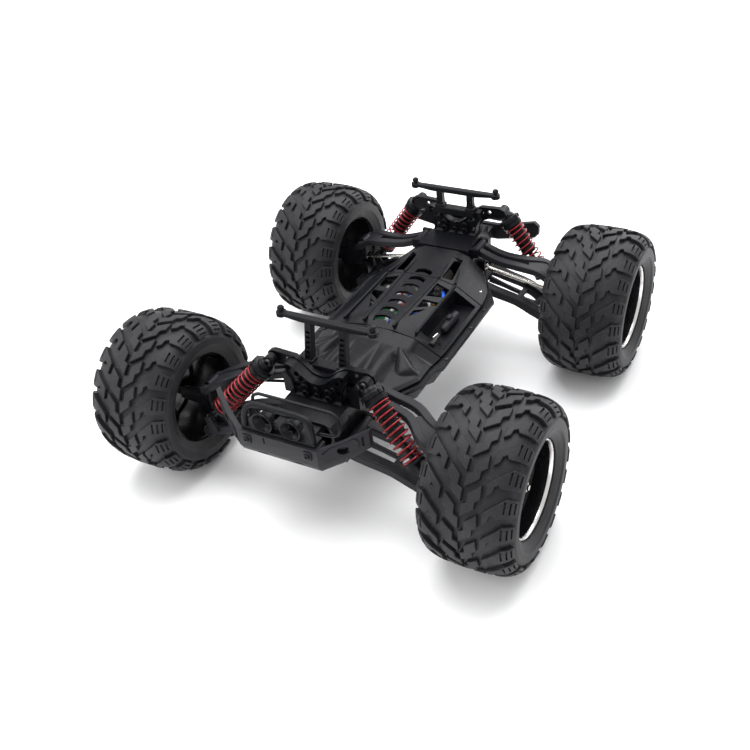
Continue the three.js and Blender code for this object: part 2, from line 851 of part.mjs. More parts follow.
const plate_front_y = front_axle.eye.y + eye_half + swing_gap - fit_gap;
const plate_rear_y = rear_axle.eye.y - eye_half - swing_gap + fit_gap;
const carrier_top = tub_bottom + carrier_roof;
const front_end = front_y - carrier_length / 2;
const rear_end = rear_y + carrier_length / 2;
const rack_y = front_y + steering_arm;
const rack_z = tub_bottom + rack_rise;
const front_block_y = plate_front_y + tower_thickness + fit_gap;
const rear_core_y = plate_rear_y - tower_thickness - core_depth;
const brace_back = plate_front_y - core_depth - 2 * brace_wall;
const brace_top = carrier_top + brace_wall - weld;

// A lug beside a hinge barrel, standing out of a side wall.
function hingeLug(root, side, y, way, radius, wall_x, low_z) {
  const near = y + way * fit_gap;
  return block(
    side * (wall_x - weld), side * (root.x + radius), near, near + way * (ear_thickness - fit_gap),
    low_z, root.z + radius,
  );
}

function hingeEars(root, y_centre, half, radius, wall_x, front_low_z) {
  return [-1, 1].flatMap((side) => [
    hingeLug(root, side, y_centre - half, -1, radius, wall_x, front_low_z),
    hingeLug(root, side, y_centre + half, 1, radius, wall_x, root.z - radius),
  ]);
}

function roundedFrame(half, z0, z1, corner) {
  const corner_steps = 2;
  const centres = [[half - corner, z1 - corner], [corner - half, z1 - corner],
    [corner - half, z0 + corner], [half - corner, z0 + corner]];
  return centres.flatMap(([cx, cz], quarter) => Array.from({ length: corner_steps + 1 }, (_, i) => {
    const angle = (Math.PI / 2) * (quarter + i / corner_steps);
    return [cx + corner * Math.cos(angle), cz + corner * Math.sin(angle)];
  }));
}

function frontBulkhead() {
  const back = -tub_front - fit_gap;
  const brace_floor = brace_top - brace_height;
  const base = block(-carrier_half, carrier_half, front_end, back, tub_bottom, brace_floor + brace_wall);
  const tall = block(-carrier_half, carrier_half, brace_back, back, tub_bottom, carrier_top);
  const upper = block(-upper_block_half, upper_block_half, front_block_y, back, carrier_top - weld, bulkhead_top);
  const brace = crossPlate(
    roundedFrame(brace_half, brace_floor, brace_top, brace_round), brace_back - brace_length, brace_back + weld,
    [roundedFrame(brace_half - brace_wall, brace_floor + brace_wall, brace_top - brace_wall, brace_round - brace_wall)],
  );
  const tunnel_floor = rack_z - rack_height / 2 - fit_gap;
  const tunnel = block(
    -carrier_half - overrun, carrier_half + overrun, rack_y - tie_end - fit_gap, back + overrun,
    tunnel_floor, tunnel_floor + tunnel_height,
  );
  return join(
    cut(join(base, tall, upper), tunnel), brace,
    ...hingeEars(front_axle.lower_root, front_y, root_half, hinge_radius, carrier_half,
      front_axle.lower_root.z - hinge_radius),
    ...hingeEars(front_axle.upper_root, front_y + front_upper_set, upper_root_half, upper_hinge_radius,
      upper_block_half, carrier_top - ear_thickness),
  );
}

function rearGearbox() {
  const face = tub_back + fit_gap;
  const base = block(-carrier_half, carrier_half, face, rear_end, tub_bottom, carrier_top);
  const casing = block(-gearbox_half, gearbox_half, face, rear_end, carrier_top - weld, gearbox_top);
  const roof_ribs = block(
    -upper_block_half, upper_block_half, face, rear_core_y, gearbox_top - 2 * upper_root_inset, gearbox_top - weld,
  );
  const cup_z = tub_bottom + output_height;
  const at = (x) => new THREE.Vector3(x, rear_y, cup_z);
  const cups = [-1, 1].map((side) => bar(
    at(side * (carrier_half - weld)), at(side * (carrier_half + output_length)), output_cup, 10,
  ));
  const bores = [-1, 1].map((side) => bar(
    at(side * carrier_half), at(side * (carrier_half + overrun)), output_bore, 10,
  ));
  return cut(join(
    base, casing, roof_ribs, ...cups,
    ...hingeEars(rear_axle.lower_root, rear_y, root_half, hinge_radius, carrier_half,
      rear_axle.lower_root.z - hinge_radius),
    ...hingeEars(rear_axle.upper_root, rear_y + rear_upper_set, upper_root_half, upper_hinge_radius,
      upper_block_half, rear_axle.upper_root.z - upper_hinge_radius),
  ), ...bores);
}

// A tower plate reaches out on both sides to the tops of the shocks; a pierced core stiffens its middle.
function tower(axle, y0, core_y, core_way, foot_z, valley_z) {
  const { eye } = axle;
  const r = tower_end_radius;
  const edge_shares = [[1.6, -1], [0, -1], [-0.7, -0.7], [-1, 0], [-0.7, 0.7], [0, 1], [1.8, 0.8]];
  const half = [
    [tower_foot_half, foot_z], [tower_foot_half, eye.z - tower_arm_drop],
    ...edge_shares.map(([in_share, up_share]) => [eye.x - in_share * r, eye.z + up_share * r]),
    [core_half + r / 2, (eye.z + r + valley_z) / 2], [core_half - r, valley_z],
  ];
  const hole_shares = [[0.86, -0.2], [0.74, -0.95], [0.5, -1.4]];
  const holes = [-1, 1].flatMap((side) => hole_shares.map(([out_share, up_share]) => circle(
    side * (out_share * (eye.x - r) + (1 - out_share) * r), eye.z + up_share * r, tower_hole, 6,
  )));
  const plate = crossPlate(mirrored(half), y0, y0 + tower_thickness, holes);
  const core_top = valley_z - fit_gap;
  const core_holes = [-1, 1].map((side) => circle(side * core_half / 2, (foot_z + core_top) / 2, core_hole, 8));
  const core_outline = mirrored([[core_half, foot_z], [core_half, core_top - core_hole], [core_half - core_hole, core_top]]);
  const near = core_way > 0 ? y0 + tower_thickness - weld : core_y;
  const far = core_way > 0 ? core_y : y0 + weld;
  return join(plate, crossPlate(core_outline, near, far, core_holes));
}

// The gate that a body shell rests on: two pierced posts under a bar with a pin at each end.
function bodyMount(base_y, base_z, lean) {
  const base_top = base_z + mount_base_height;
  const base = block(
    -mount_base_half, mount_base_half, base_y - mount_base_depth / 2, base_y + mount_base_depth / 2, base_z, base_top,
  );
  const bar_y = base_y + lean;
  const bar_top = carrier_top + mount_top;
  const bar_low = bar_top - mount_bar_height;
  const slope = lean / (bar_low - base_top);
  const postPlace = (z) => base_y + slope * (z - base_top);
  const posts = [-1, 1].map((side) => {
    const section = (z) => [[-1, -1], [1, -1], [1, 1], [-1, 1]].map(([across, along]) => [
      side * post_half_span + across * post_width / 2, postPlace(z) + along * post_width / 2, z,
    ]);
    return loft([section(base_top - weld), section(bar_low + weld)]);
  });
  const count = Math.floor((bar_low - base_top) / post_hole_pitch) - 1;
  const holes = [-1, 1].flatMap((side) => Array.from({ length: count }, (_, i) => {
    const z = base_top + (i + 1) * post_hole_pitch;
    const at = (y) => new THREE.Vector3(side * post_half_span, y, z);
    return bar(at(postPlace(z) - post_width), at(postPlace(z) + post_width), post_hole, 4);
  }));
  const depth = mount_bar_depth / 2;
  const beam_end = mount_bar_half - mount_end_radius / 2;
  const beam = flatPlate(mirrored([
    [post_half_span, bar_y - depth], [beam_end, bar_y - depth / 2],
    [beam_end, bar_y + depth / 2], [post_half_span, bar_y + depth],
  ]), bar_low, bar_top);
  const pad_top = bar_top - mount_bar_height / 4;
  const ends = [-1, 1].flatMap((side) => [
    flatPlate(circle(side * mount_bar_half, bar_y, mount_end_radius, 8, Math.PI / 8), bar_low, pad_top),
    turned(new THREE.Vector3(side * mount_bar_half, bar_y, pad_top - weld), new THREE.Vector3(0, 0, 1), [
      [0, pin_radius], [pin_height, pin_radius], [pin_height + pin_ball / 2, pin_ball],
      [pin_height + pin_ball, pin_ball], [pin_height + 3 * pin_ball / 2, pin_ball / 2],
    ], 8),
  ]);
  return cut(join(base, ...posts, beam, ...ends), ...holes);
}

// A swept bar across an end of the truck, with a lip that turns under; way is the side it faces.
function sweptBar(sections, way) {
  const ring = ({ x, y, low, high, wall, lip }) => [
    [x, y, high], [x, y, low], [x, y - way * lip / 2, low - lip], [x, y - way * (lip / 2 + wall / 2), low - lip],
    [x, y - way * wall, low + weld], [x, y - way * wall, high],
  ];
  const left = sections.map((section) => ({ ...section, x: -section.x })).reverse();
  return loft([...left, ...sections].map(ring));
}

const bumper_face = front_end - bumper_reach;
const bumper_top = bumper_low + bumper_height;

function frontBumper() {
  const run_shares = [0, 0.45, 1];
  const rise_shares = [0, 0.4, 1];
  const lip_shares = [1, 0.8, 0.2];
  const beam = sweptBar(run_shares.map((run, i) => ({
    x: bumper_face_half + run * (bumper_half - bumper_face_half),
    y: bumper_face + rise_shares[i] * bumper_tip_sweep,
    low: bumper_low + rise_shares[i] * bumper_tip_rise,
    high: bumper_top + rise_shares[i] * bumper_tip_rise,
    wall: bumper_wall,
    lip: bumper_lip * lip_shares[i],
  })), -1);
  const stay_top = brace_top - brace_wall - fit_gap;
  const inner = bumper_face + bumper_wall;
  const stay = block(-stay_half, stay_half, inner - weld, brace_back - fit_gap, stay_top - stay_height, stay_top);
  const deck = block(
    -bumper_face_half, bumper_face_half, inner - weld, inner + deck_depth, bumper_top - pod_base_height, bumper_top,
  );
  const web = block(-deck_web, deck_web, inner - weld, inner + deck_web, stay_top - weld, bumper_top - weld);
  const wing_z = bumper_low + bumper_height / 2 + bumper_tip_rise / 2;
  const at = (side, y) => new THREE.Vector3(side * bumper_hole_span, y, wing_z);
  const holes = [-1, 1].map((side) => bar(
    at(side, bumper_face - overrun), at(side, bumper_face + overrun), bumper_hole, 10,
  ));
  return cut(join(beam, stay, deck, web), ...holes);
}

// Two hollow lamp cups under a bent tube, on one base.
function lampPod() {
  const base_z = bumper_top + fit_gap;
  const y0 = bumper_face + bumper_wall / 2;
  const y1 = y0 + lamp_depth;
  const base = block(-hoop_half - hoop_radius, hoop_half + hoop_radius, y0, y1, base_z, base_z + pod_base_height);
  const lamp_z = base_z + lamp_radius + pod_base_height / 2;
  const back_radius = lamp_radius - lamp_back / 2;
  const at = (side, y) => new THREE.Vector3(side * lamp_span, y, lamp_z);
  const cups = [-1, 1].map((side) => bar(at(side, y1), at(side, y0), back_radius, 12, lamp_radius));
  const hollows = [-1, 1].map((side) => bar(
    at(side, y1 - lamp_back), at(side, y0 - weld), back_radius - lamp_wall, 12, lamp_radius - lamp_wall,
  ));
  const hoop_shares = [
    [-1, 0, 0], [-0.98, 0.1, 0.45], [-0.88, 0.6, 0.86], [-0.62, 1, 1], [0, 1, 1],
    [0.62, 1, 1], [0.88, 0.6, 0.86], [0.98, 0.1, 0.45], [1, 0, 0],
  ];
  const curve = new THREE.CatmullRomCurve3(hoop_shares.map(([x, y, z]) => new THREE.Vector3(
    x * hoop_half, y0 + hoop_radius + y * hoop_lean, base_z + weld + z * hoop_height,
  )));
  const section = new THREE.Shape(circle(0, 0, hoop_radius, 6).map(([a, b]) => new THREE.Vector2(a, b)));
  const hoop = toSolid(new THREE.ExtrudeGeometry(section, { steps: 10, bevelEnabled: false, extrudePath: curve }));
  return cut(join(base, ...cups, hoop), ...hollows);
}

const tail_face = rear_end + tail_reach;

function rearBumper() {
  const run_shares = [0.3, 0.62, 0.93, 1];
  const rise_shares = [0, 0.45, 0.93, 1];
  const pinch_shares = [0, 0, 0, 1];
  const beam = sweptBar(run_shares.map((run, i) => ({
    x: run * tail_half,
    y: tail_face - rise_shares[i] * tail_sweep,
    low: tail_low + rise_shares[i] * tail_rise + pinch_shares[i] * tail_round,
    high: tail_low + tail_height + rise_shares[i] * tail_rise - pinch_shares[i] * tail_round,
    wall: tail_wall,
    lip: tail_wall / 4,
  })), 1);
  const stays = [-1, 1].map((side) => block(
    side * (tail_stay_half - tail_stay), side * tail_stay_half, rear_end + fit_gap, tail_face - tail_wall + weld,
    tail_low + tail_wall / 2, tail_low + tail_height - tail_wall / 2,
  ));
  return join(beam, ...stays);
}

// Tub and covers

// The tub's outline, drawn in by an inset, as shares of its half width and its reach to each end.
function tubOutline(inset) {
  const outline_shares = [
    [0.42, 1], [0.71, 0.985], [1, 0.7], [1, -0.38], [0.92, -0.45], [0.92, -0.66], [0.73, -0.87], [0.42, -1],
  ];
  const half = tub_half_width - inset;
  return mirrored(outline_shares.map(([x, y]) => [x * half, y * ((y > 0 ? tub_back : tub_front) - inset)]));
}

function chassisTub() {
  const level = (inset, z) => tubOutline(inset).map(([x, y]) => [x, y, z]);
  const flange_z = tub_top - flange_thickness;
  const shell = loft([level(flange_width + tub_draft, tub_bottom), level(flange_width, flange_z + weld)]);
  const flange = flatPlate(tubOutline(0), flange_z, tub_top);
  const inner = flange_width + tub_wall;
  const hollow = loft([
    level(inner + tub_draft, tub_floor), level(inner, flange_z), level(inner, tub_top + overrun),
  ]);
  const post_x = gear_x + gear_width + fit_gap;
  const post = block(
    post_x, post_x + gear_post, spur_y - gear_post_depth / 2, spur_y + gear_post_depth / 2,
    tub_floor - weld, spur_z + gear_post_depth / 2,
  );
  const stub = bar(
    new THREE.Vector3(gear_x, spur_y, spur_z), new THREE.Vector3(post_x + weld, spur_y, spur_z), spur_shaft, 12,
  );
  return join(cut(join(shell, flange), hollow), post, stub);
}

// Stations of the cover from front to rear: place along it, half width, crown height and edge height.
const cover_shares = [
  [-1, 0.41, 0.31, 0.05], [-0.88, 0.68, 0.55, 0.07], [-0.66, 0.875, 0.63, 0.09], [-0.44, 0.875, 0.69, 0.09],
  [-0.30, 0.91, 0.77, 0.1], [-0.19, 0.93, 0.985, 0.12], [0.59, 0.93, 0.985, 0.12], [0.76, 0.89, 1.04, 0.16],
  [0.9, 0.76, 1.12, 0.3], [1, 0.66, 1.15, 0.42],
];

function coverSolid(inset) {
  const shoulder_drop_share = 0.22;
  const shoulder_run_share = 0.45;
  const drop = inset > 0 ? overrun : 0;
  return loft(cover_shares.map(([place, half_share, crown_share, edge_share]) => {
    const end_inset = Math.abs(place) === 1 ? inset : 0;
    const y = place * ((place > 0 ? tub_back : tub_front) - cover_inset) - Math.sign(place) * end_inset;
    const base = half_share * (tub_half_width - cover_inset) - inset;
    const crown = cover_base + crown_share * cover_rise - inset;
    const edge = Math.min(cover_base + edge_share * cover_rise, crown - weld) - (inset > 0 ? weld : 0);
    const shoulder = crown - (crown - edge) * shoulder_drop_share;
    const top = Math.min(crown_half, base / 2);
    const half = [
      [base, cover_base - drop], [base, edge], [top + (base - top) * shoulder_run_share, shoulder], [top, crown],
    ];
    return mirrored(half).map(([x, z]) => [x, y, z]);
  }));
}

const cover_outer = coverSolid(0);
const cover_inner = coverSolid(cover_wall);
const cover_shell = cover_outer.subtract(cover_inner);
const cover_far = tub_half_width + overrun;
const cover_high = cover_base + 2 * cover_rise;
const pocket_low_x = tub_half_width - pocket_inner;
const pocket_high_x = tub_half_width - pocket_outer;
const pocket_x = (pocket_low_x + pocket_high_x) / 2;
const door_start = fit_gap - front_seam;
const door_end = rear_seam - fit_gap;

function slab(y0, y1) {
  return block(-cover_far, cover_far, y0, y1, cover_base - weld, cover_high);
}

// Windows through the cover's roof.
function roofCut(points) {
  return flatPlate(points, cover_base + cover_wall, cover_high);
}

// A window between the named vent lines, at shares of a stretch from y0 to y1.
function vents(table_shares, y0, y1) {
  return [-1, 1].map((side) => roofCut(table_shares.map(([x, y]) => [
    side * (vent_inner + x * (tub_half_width - vent_outer - vent_inner)), y0 + y * (y1 - y0),
  ])));
}

const slat_pitch = (slat_last + slat_first) / (slat_count - 1);
const slat_places = Array.from({ length: slat_count }, (_, i) => i * slat_pitch - slat_first);

function slat(y) {
  const run_shares = [-1, -0.6, 0, 0.6, 1];
  const arc = (offset) => run_shares.map((run) => [run * slat_half, y + offset - slat_bow * run * run]);
  return roofCut([...arc(-slat_length / 2), ...arc(slat_length / 2).reverse()]);
}

function frontCover() {
  const seam = -front_seam - fit_gap;
  const shell = cover_shell.intersect(slab(-tub_front, seam));
  const below = block(-cover_far, cover_far, -tub_front - overrun, seam, tub_bottom, cover_base);
  const bulges = [-1, 1].map((side) => {
    const apex = new THREE.Vector3(side * bulge_apex_x, -bulge_apex, cover_base + bulge_apex_z);
    const base = new THREE.Vector3(side * (tub_half_width - bulge_inset - bulge_radius / 2), -bulge_front, cover_base);
    return cut(bar(apex, base, bulge_apex_radius, 12, bulge_radius), below, cover_inner);
  });
  const horn_way = block(
    -horn_way_half, horn_way_half, -tub_front - overrun, -servo_axis - 2 * horn_half - swing_gap,
    cover_base - weld, cover_high,
  );
  return cut(join(shell, ...bulges), horn_way);
}

function batteryDoor() {
  const floor_z = cover_base + pocket_floor;
  const room = (grow, z0) => block(
    pocket_low_x - grow, pocket_high_x + grow, -pocket_front - grow, pocket_back + grow, z0, cover_high,
  );
  const lining = cut(cover_outer.intersect(room(cover_wall, cover_base)), room(0, floor_z));
  const bracket = block(
    pocket_x - latch_radius, pocket_x + latch_radius, latch_start - latch_travel - 2 * latch_lug,
    latch_start - latch_travel - latch_lug, floor_z - weld, floor_z + latch_radius,
  );
  const door_vents = [
    [[0, 0.657], [1, 0.731], [1, 0.896], [0, 0.925]], [[0, 0.418], [1, 0.567], [1, 0.627], [0, 0.582]],
    [[0, 0.239], [0.6, 0.448], [0, 0.358]],
  ].flatMap((window_shares) => vents(window_shares, -front_seam, rear_seam));
  const slots = slat_places.filter((y) => y + slat_length / 2 < door_end).map(slat);
  const shell = cut(cover_shell.intersect(slab(door_start, door_end)), room(0, cover_base - weld), ...door_vents);
  return cut(join(shell, lining, bracket), ...slots);
}

function rearCover() {
  const start = rear_seam + fit_gap;
  const shell = cover_shell.intersect(slab(start, tub_back));
  const windows = vents([[0, 0.1], [0.7, 0.12], [0.45, 0.75], [0, 0.65]], rear_seam, tub_back);
  const slots = slat_places.filter((y) => y - slat_length / 2 > start).map(slat);
  return cut(shell, ...windows, ...slots);
}

// A round-ended bar with a thumb tab that slides in the door's pocket.
function doorLatch() {
  const x = pocket_x;
  const z = cover_base + pocket_floor + fit_gap + latch_radius;
  const start = new THREE.Vector3(x, latch_start, z);
  const round_shares = [[0, 0.5], [0.35, 0.87], [1, 1]];
  const ends = round_shares.map(([run, size]) => [run * latch_radius, size * latch_radius]);
  const rod = turned(start, new THREE.Vector3(0, 1, 0), [
    ...ends, ...ends.map(([run, radius]) => [latch_length - run, radius]).reverse(),
  ], 12);
  const tab = block(
    x - latch_radius / 2, x + latch_radius / 2, latch_start + (latch_length - latch_lug) / 2,
    latch_start + (latch_length + latch_lug) / 2, z, z + latch_radius + latch_tab,
  );
  return join(rod, tab);
}

// Drive train and electrics in the tub

function gear(x0, y, z, teeth, bore, turn) {
  const pitch = gear_module * teeth / 2;
  const tip = pitch + gear_module;
  const root = pitch - gear_module * 1.25;
  const tooth_shares = [[-0.31, 0], [-0.13, 1], [0.13, 1], [0.31, 0]];
  const points = Array.from({ length: teeth }, (_, i) => tooth_shares.map(([place, top]) => {
    const angle = turn + (2 * Math.PI * (i + place)) / teeth;
    const radius = root + top * (tip - root);
    return [radius * Math.cos(angle), radius * Math.sin(angle)];
  })).flat();
  const geometry = new THREE.ExtrudeGeometry(
    outlineShape(points, bore > 0 ? [circle(0, 0, bore, 12)] : []), { depth: gear_width, bevelEnabled: false },
  );
  geometry.applyMatrix4(new THREE.Matrix4().makeBasis(
    new THREE.Vector3(0, 1, 0), new THREE.Vector3(0, 0, 1), new THREE.Vector3(1, 0, 0),
  ));
  geometry.translate(x0, y, z);
  return toSolid(geometry);
}

function motorCan() {
  const at = (x) => new THREE.Vector3(x, motor_y, motor_z);
  return turned(at(motor_left), new THREE.Vector3(1, 0, 0), [
    [-boss_length, motor_boss], [0, motor_boss], [0, motor_radius - weld], [weld, motor_radius],
    [motor_length - weld, motor_radius], [motor_length, motor_radius - weld], [motor_length, motor_boss],
    [motor_length + motor_gap / 2, motor_boss], [motor_length + motor_gap / 2, pinion_shaft],
    [motor_length + motor_gap + gear_width, pinion_shaft],
  ], 16);
}

// Steering

function rackBar() {
  const body = block(
    -rack_half, rack_half, rack_y - rack_width / 2, rack_y + rack_width / 2,
    rack_z - rack_height / 2, rack_z + rack_height / 2,
  );
  const eyes = [-1, 1].map((side) => bar(
    new THREE.Vector3(side * rack_half, rack_y, rack_z - rack_height / 2),
    new THREE.Vector3(side * rack_half, rack_y, rack_z + rack_height / 2), tie_end,
  ));
  return join(body, ...eyes);
}

function servoHorn() {
  const z0 = rack_z + rack_height / 2 + fit_gap;
  const z1 = z0 + horn_thickness;
  const ends = [-servo_axis, rack_y].map((y) => bar(
    new THREE.Vector3(0, y, z0), new THREE.Vector3(0, y, z1), horn_half,
  ));
  return join(block(-horn_half / 2, horn_half / 2, rack_y, -servo_axis, z0, z1), ...ends);
}

function steeringServo() {
  const { x, y, z } = servo_size;
  const case_top = tub_floor + fit_gap + z;
  const body = block(-x / 2, x / 2, -servo_front, y - servo_front, tub_floor + fit_gap, case_top);
  const boss = bar(
    new THREE.Vector3(0, -servo_axis, case_top - weld),
    new THREE.Vector3(0, -servo_axis, rack_z + rack_height / 2), servo_boss,
  );
  return join(body, boss);
}

function tieRod(side) {
  const { x } = knucklePlace(front_axle, 1);
  const outer_x = x + steering_arm_width / 2 - weld;
  const inner_z = rack_z + rack_height / 2 + tie_gap;
  const outer_z = axle_z + steering_arm_height / 2 + tie_gap;
  const end = (px, z) => bar(
    new THREE.Vector3(side * px, rack_y, z), new THREE.Vector3(side * px, rack_y, z + tie_end_height), tie_end,
  );
  const middle = (z) => z + tie_end_height / 2;
  const rod = bar(
    new THREE.Vector3(side * rack_half, rack_y, middle(inner_z)),
    new THREE.Vector3(side * outer_x, rack_y, middle(outer_z)), tie_radius, 8,
  );
  return join(end(rack_half, inner_z), end(outer_x, outer_z), rod);
}

// A block on the tub's floor, between two shares of the floor's half width.
function floorBlock([right_share, left_share], front, length, height) {
  const half = tub_half_width - flange_width - tub_wall - tub_draft;
  const z0 = tub_floor + fit_gap;
  return block(right_share * half, left_share * half, -front, length - front, z0, z0 + height);
}

// Corners
for (const axle of [front_axle, rear_axle]) {
  const front = axle === front_axle;
  for (const side of [1, -1]) {
    const suffix = `${axle.name}_${side > 0 ? 'left' : 'right'}`;
    const hand = side > 0 ? 'left' : 'right';
    const hub = wheelCentre(axle, side);
    const line = shockLine(axle, side);
    add(`tyre_${suffix}`, toSolid(tyreGeometry(hub)), finish.rubber);
    add(`rim_${suffix}`, rimSolid(hub, side), finish.rim);
    add(`lower_arm_${suffix}`, lowerArm(axle, side), finish.arm);
    add(`upper_arm_${suffix}`, upperArm(axle, side, front ? front_upper_set : rear_upper_set), finish.arm);
    add(`shock_body_${suffix}`, shockBody(line), finish.shock);
    add(`shock_rod_${suffix}`, shockRod(line), finish.shock);
    addGeometry(`spring_${suffix}`, springGeometry(line), finish.spring);
    if (front) {
      add(`front_carrier_${hand}`, frontCarrier(axle, side), finish.plastic);
      add(`front_knuckle_${hand}`, frontKnuckle(axle, side), finish.plastic);
      add(`tie_rod_${hand}`, tieRod(side), finish.plastic);
    } else {
      add(`rear_hub_${hand}`, rearHub(axle, side), finish.plastic);
      add(`driveshaft_${hand}`, driveShaft(axle, side), finish.steel);
    }
  }
}
console.log(`springs: least gap to itself ${least_gap.toFixed(2)} mm, wanted over ${least_coil_gap}`);

// Centre
add('chassis_tub', chassisTub(), finish.plastic);
add('front_cover', frontCover(), finish.plastic);
add('battery_door', batteryDoor(), finish.plastic);
add('rear_cover', rearCover(), finish.plastic);
add('door_latch', doorLatch(), finish.plastic);
add('front_bulkhead', frontBulkhead(), finish.plastic);
add('rear_gearbox', rearGearbox(), finish.plastic);
add('front_tower', tower(front_axle, plate_front_y, plate_front_y - core_depth, -1,
  carrier_top + fit_gap, bulkhead_top), finish.plastic);
add('rear_tower', tower(rear_axle, plate_rear_y - tower_thickness, rear_core_y, -1,
  gearbox_top + fit_gap, rear_axle.eye.z - rear_valley_drop), finish.plastic);
add('front_body_mount', bodyMount(front_block_y + mount_base_depth / 2, bulkhead_top + fit_gap,
  front_post_lean), finish.plastic);
add('rear_body_mount', bodyMount(rear_core_y + mount_base_depth / 2,
  rear_axle.eye.z - rear_valley_drop, 0), finish.plastic);
add('front_bumper', frontBumper(), finish.plastic);
add('light_pod', lampPod(), finish.plastic);
add('rear_bumper', rearBumper(), finish.plastic);
add('motor', motorCan(), finish.steel);
add('motor_pinion', gear(gear_x, motor_y, motor_z, pinion_teeth, pinion_shaft + fit_gap, gear_tilt), finish.gear);
add('spur_gear', gear(gear_x, spur_y, spur_z, spur_teeth, spur_shaft + fit_gap,
  gear_tilt + Math.PI + Math.PI / spur_teeth), finish.gear);
add('battery_pack', floorBlock(battery_span_shares, battery_front, battery_length, battery_height), finish.battery);
add('receiver_board', floorBlock(board_span_shares, board_front, board_length, board_height), finish.board);
add('steering_servo', steeringServo(), finish.plastic);
add('servo_horn', servoHorn(), finish.plastic);
add('steering_rack', rackBar(), finish.plastic);

export default truck;
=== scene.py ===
"""A radio-controlled monster truck chassis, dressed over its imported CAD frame."""

import json
import logging
import math
from contextlib import contextmanager
from dataclasses import dataclass
from enum import Enum
from typing import Callable, Iterator, Sequence

import bmesh
import bpy
from mathutils import Matrix, Vector

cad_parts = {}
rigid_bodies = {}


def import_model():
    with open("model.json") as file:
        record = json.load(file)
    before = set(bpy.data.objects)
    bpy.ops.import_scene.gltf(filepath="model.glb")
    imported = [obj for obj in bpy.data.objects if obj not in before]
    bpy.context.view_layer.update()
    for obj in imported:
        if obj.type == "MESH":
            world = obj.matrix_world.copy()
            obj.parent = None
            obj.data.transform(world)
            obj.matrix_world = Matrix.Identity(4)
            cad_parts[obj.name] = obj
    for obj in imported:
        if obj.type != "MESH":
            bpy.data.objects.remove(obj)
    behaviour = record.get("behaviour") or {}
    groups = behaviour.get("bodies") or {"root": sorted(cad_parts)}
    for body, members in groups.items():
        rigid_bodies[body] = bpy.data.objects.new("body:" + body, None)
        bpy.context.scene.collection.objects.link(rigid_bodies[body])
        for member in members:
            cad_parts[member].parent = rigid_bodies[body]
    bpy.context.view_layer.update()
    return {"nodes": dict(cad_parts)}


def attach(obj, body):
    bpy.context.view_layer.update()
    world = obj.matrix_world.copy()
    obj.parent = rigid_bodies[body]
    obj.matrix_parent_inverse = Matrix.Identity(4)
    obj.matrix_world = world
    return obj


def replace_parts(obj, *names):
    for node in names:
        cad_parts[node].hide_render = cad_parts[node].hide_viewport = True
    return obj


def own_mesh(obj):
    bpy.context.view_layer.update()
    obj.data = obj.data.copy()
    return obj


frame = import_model()

MM = 0.001
ACROSS, ALONG, UP, AHEAD = (Vector(way) for way in ((1, 0, 0), (0, 1, 0), (0, 0, 1), (0, -1, 0)))
log = logging.getLogger("truck")
Point = tuple[float, float, float]
Line = tuple[float, float, float, float, float]


class Named(Enum):
    """A choice whose name is part of the frame's node names."""

    @property
    def word(self) -> str:
        """Its name in the frame."""
        return self.name.lower()


class Side(Named):
    """The truck's two sides, with the sign of their X."""

    LEFT = 1
    RIGHT = -1

    def at(self, x: float, y: float, z: float) -> Vector:
        """A place on this side, from the left one's in millimetres."""
        return mm(x * self.value, y, z)


class End(Named):
    """The truck's two ends, with the sign of their Y."""

    FRONT = -1
    REAR = 1


def mm(x: float, y: float, z: float) -> Vector:
    """A point or direction given in millimetres."""
    return Vector((x, y, z)) * MM


def unit(value: float) -> float:
    """A value kept between 0 and 1."""
    return min(max(value, 0.0), 1.0)


# Shader arithmetic


class Value:
    """A number that varies over a surface; arithmetic on it adds Math nodes."""

    def __init__(self, shader: "Shader", output: bpy.types.NodeSocket) -> None:
        """Wrap one output of a shader's node."""
        self.shader = shader
        self.output = output

    def math(self, operation: str, other: "Value | float") -> "Value":
        """The result of a Math node that joins this value and another."""
        made = self.shader.node("ShaderNodeMath", {"operation": operation}, {0: self, 1: other})
        return Value(self.shader, made.outputs[0])

    def __add__(self, other: "Value | float") -> "Value":
        """Sum."""
        return self.math("ADD", other)

    def __mul__(self, other: "Value | float") -> "Value":
        """Product."""
        return self.math("MULTIPLY", other)

    def above(self, level: float, width: float) -> "Value":
        """A smooth step from 0 to 1.

        Args:
            level: Where the step is half way.
            width: How wide it is.

        Returns:
            The stepped value.
        """
        made = self.shader.node(
            "ShaderNodeMapRange",
            {"interpolation_type": "SMOOTHSTEP"},
            {"Value": self, "From Min": level - width / 2, "From Max": level + width / 2},
        )
        return Value(self.shader, made.outputs[0])


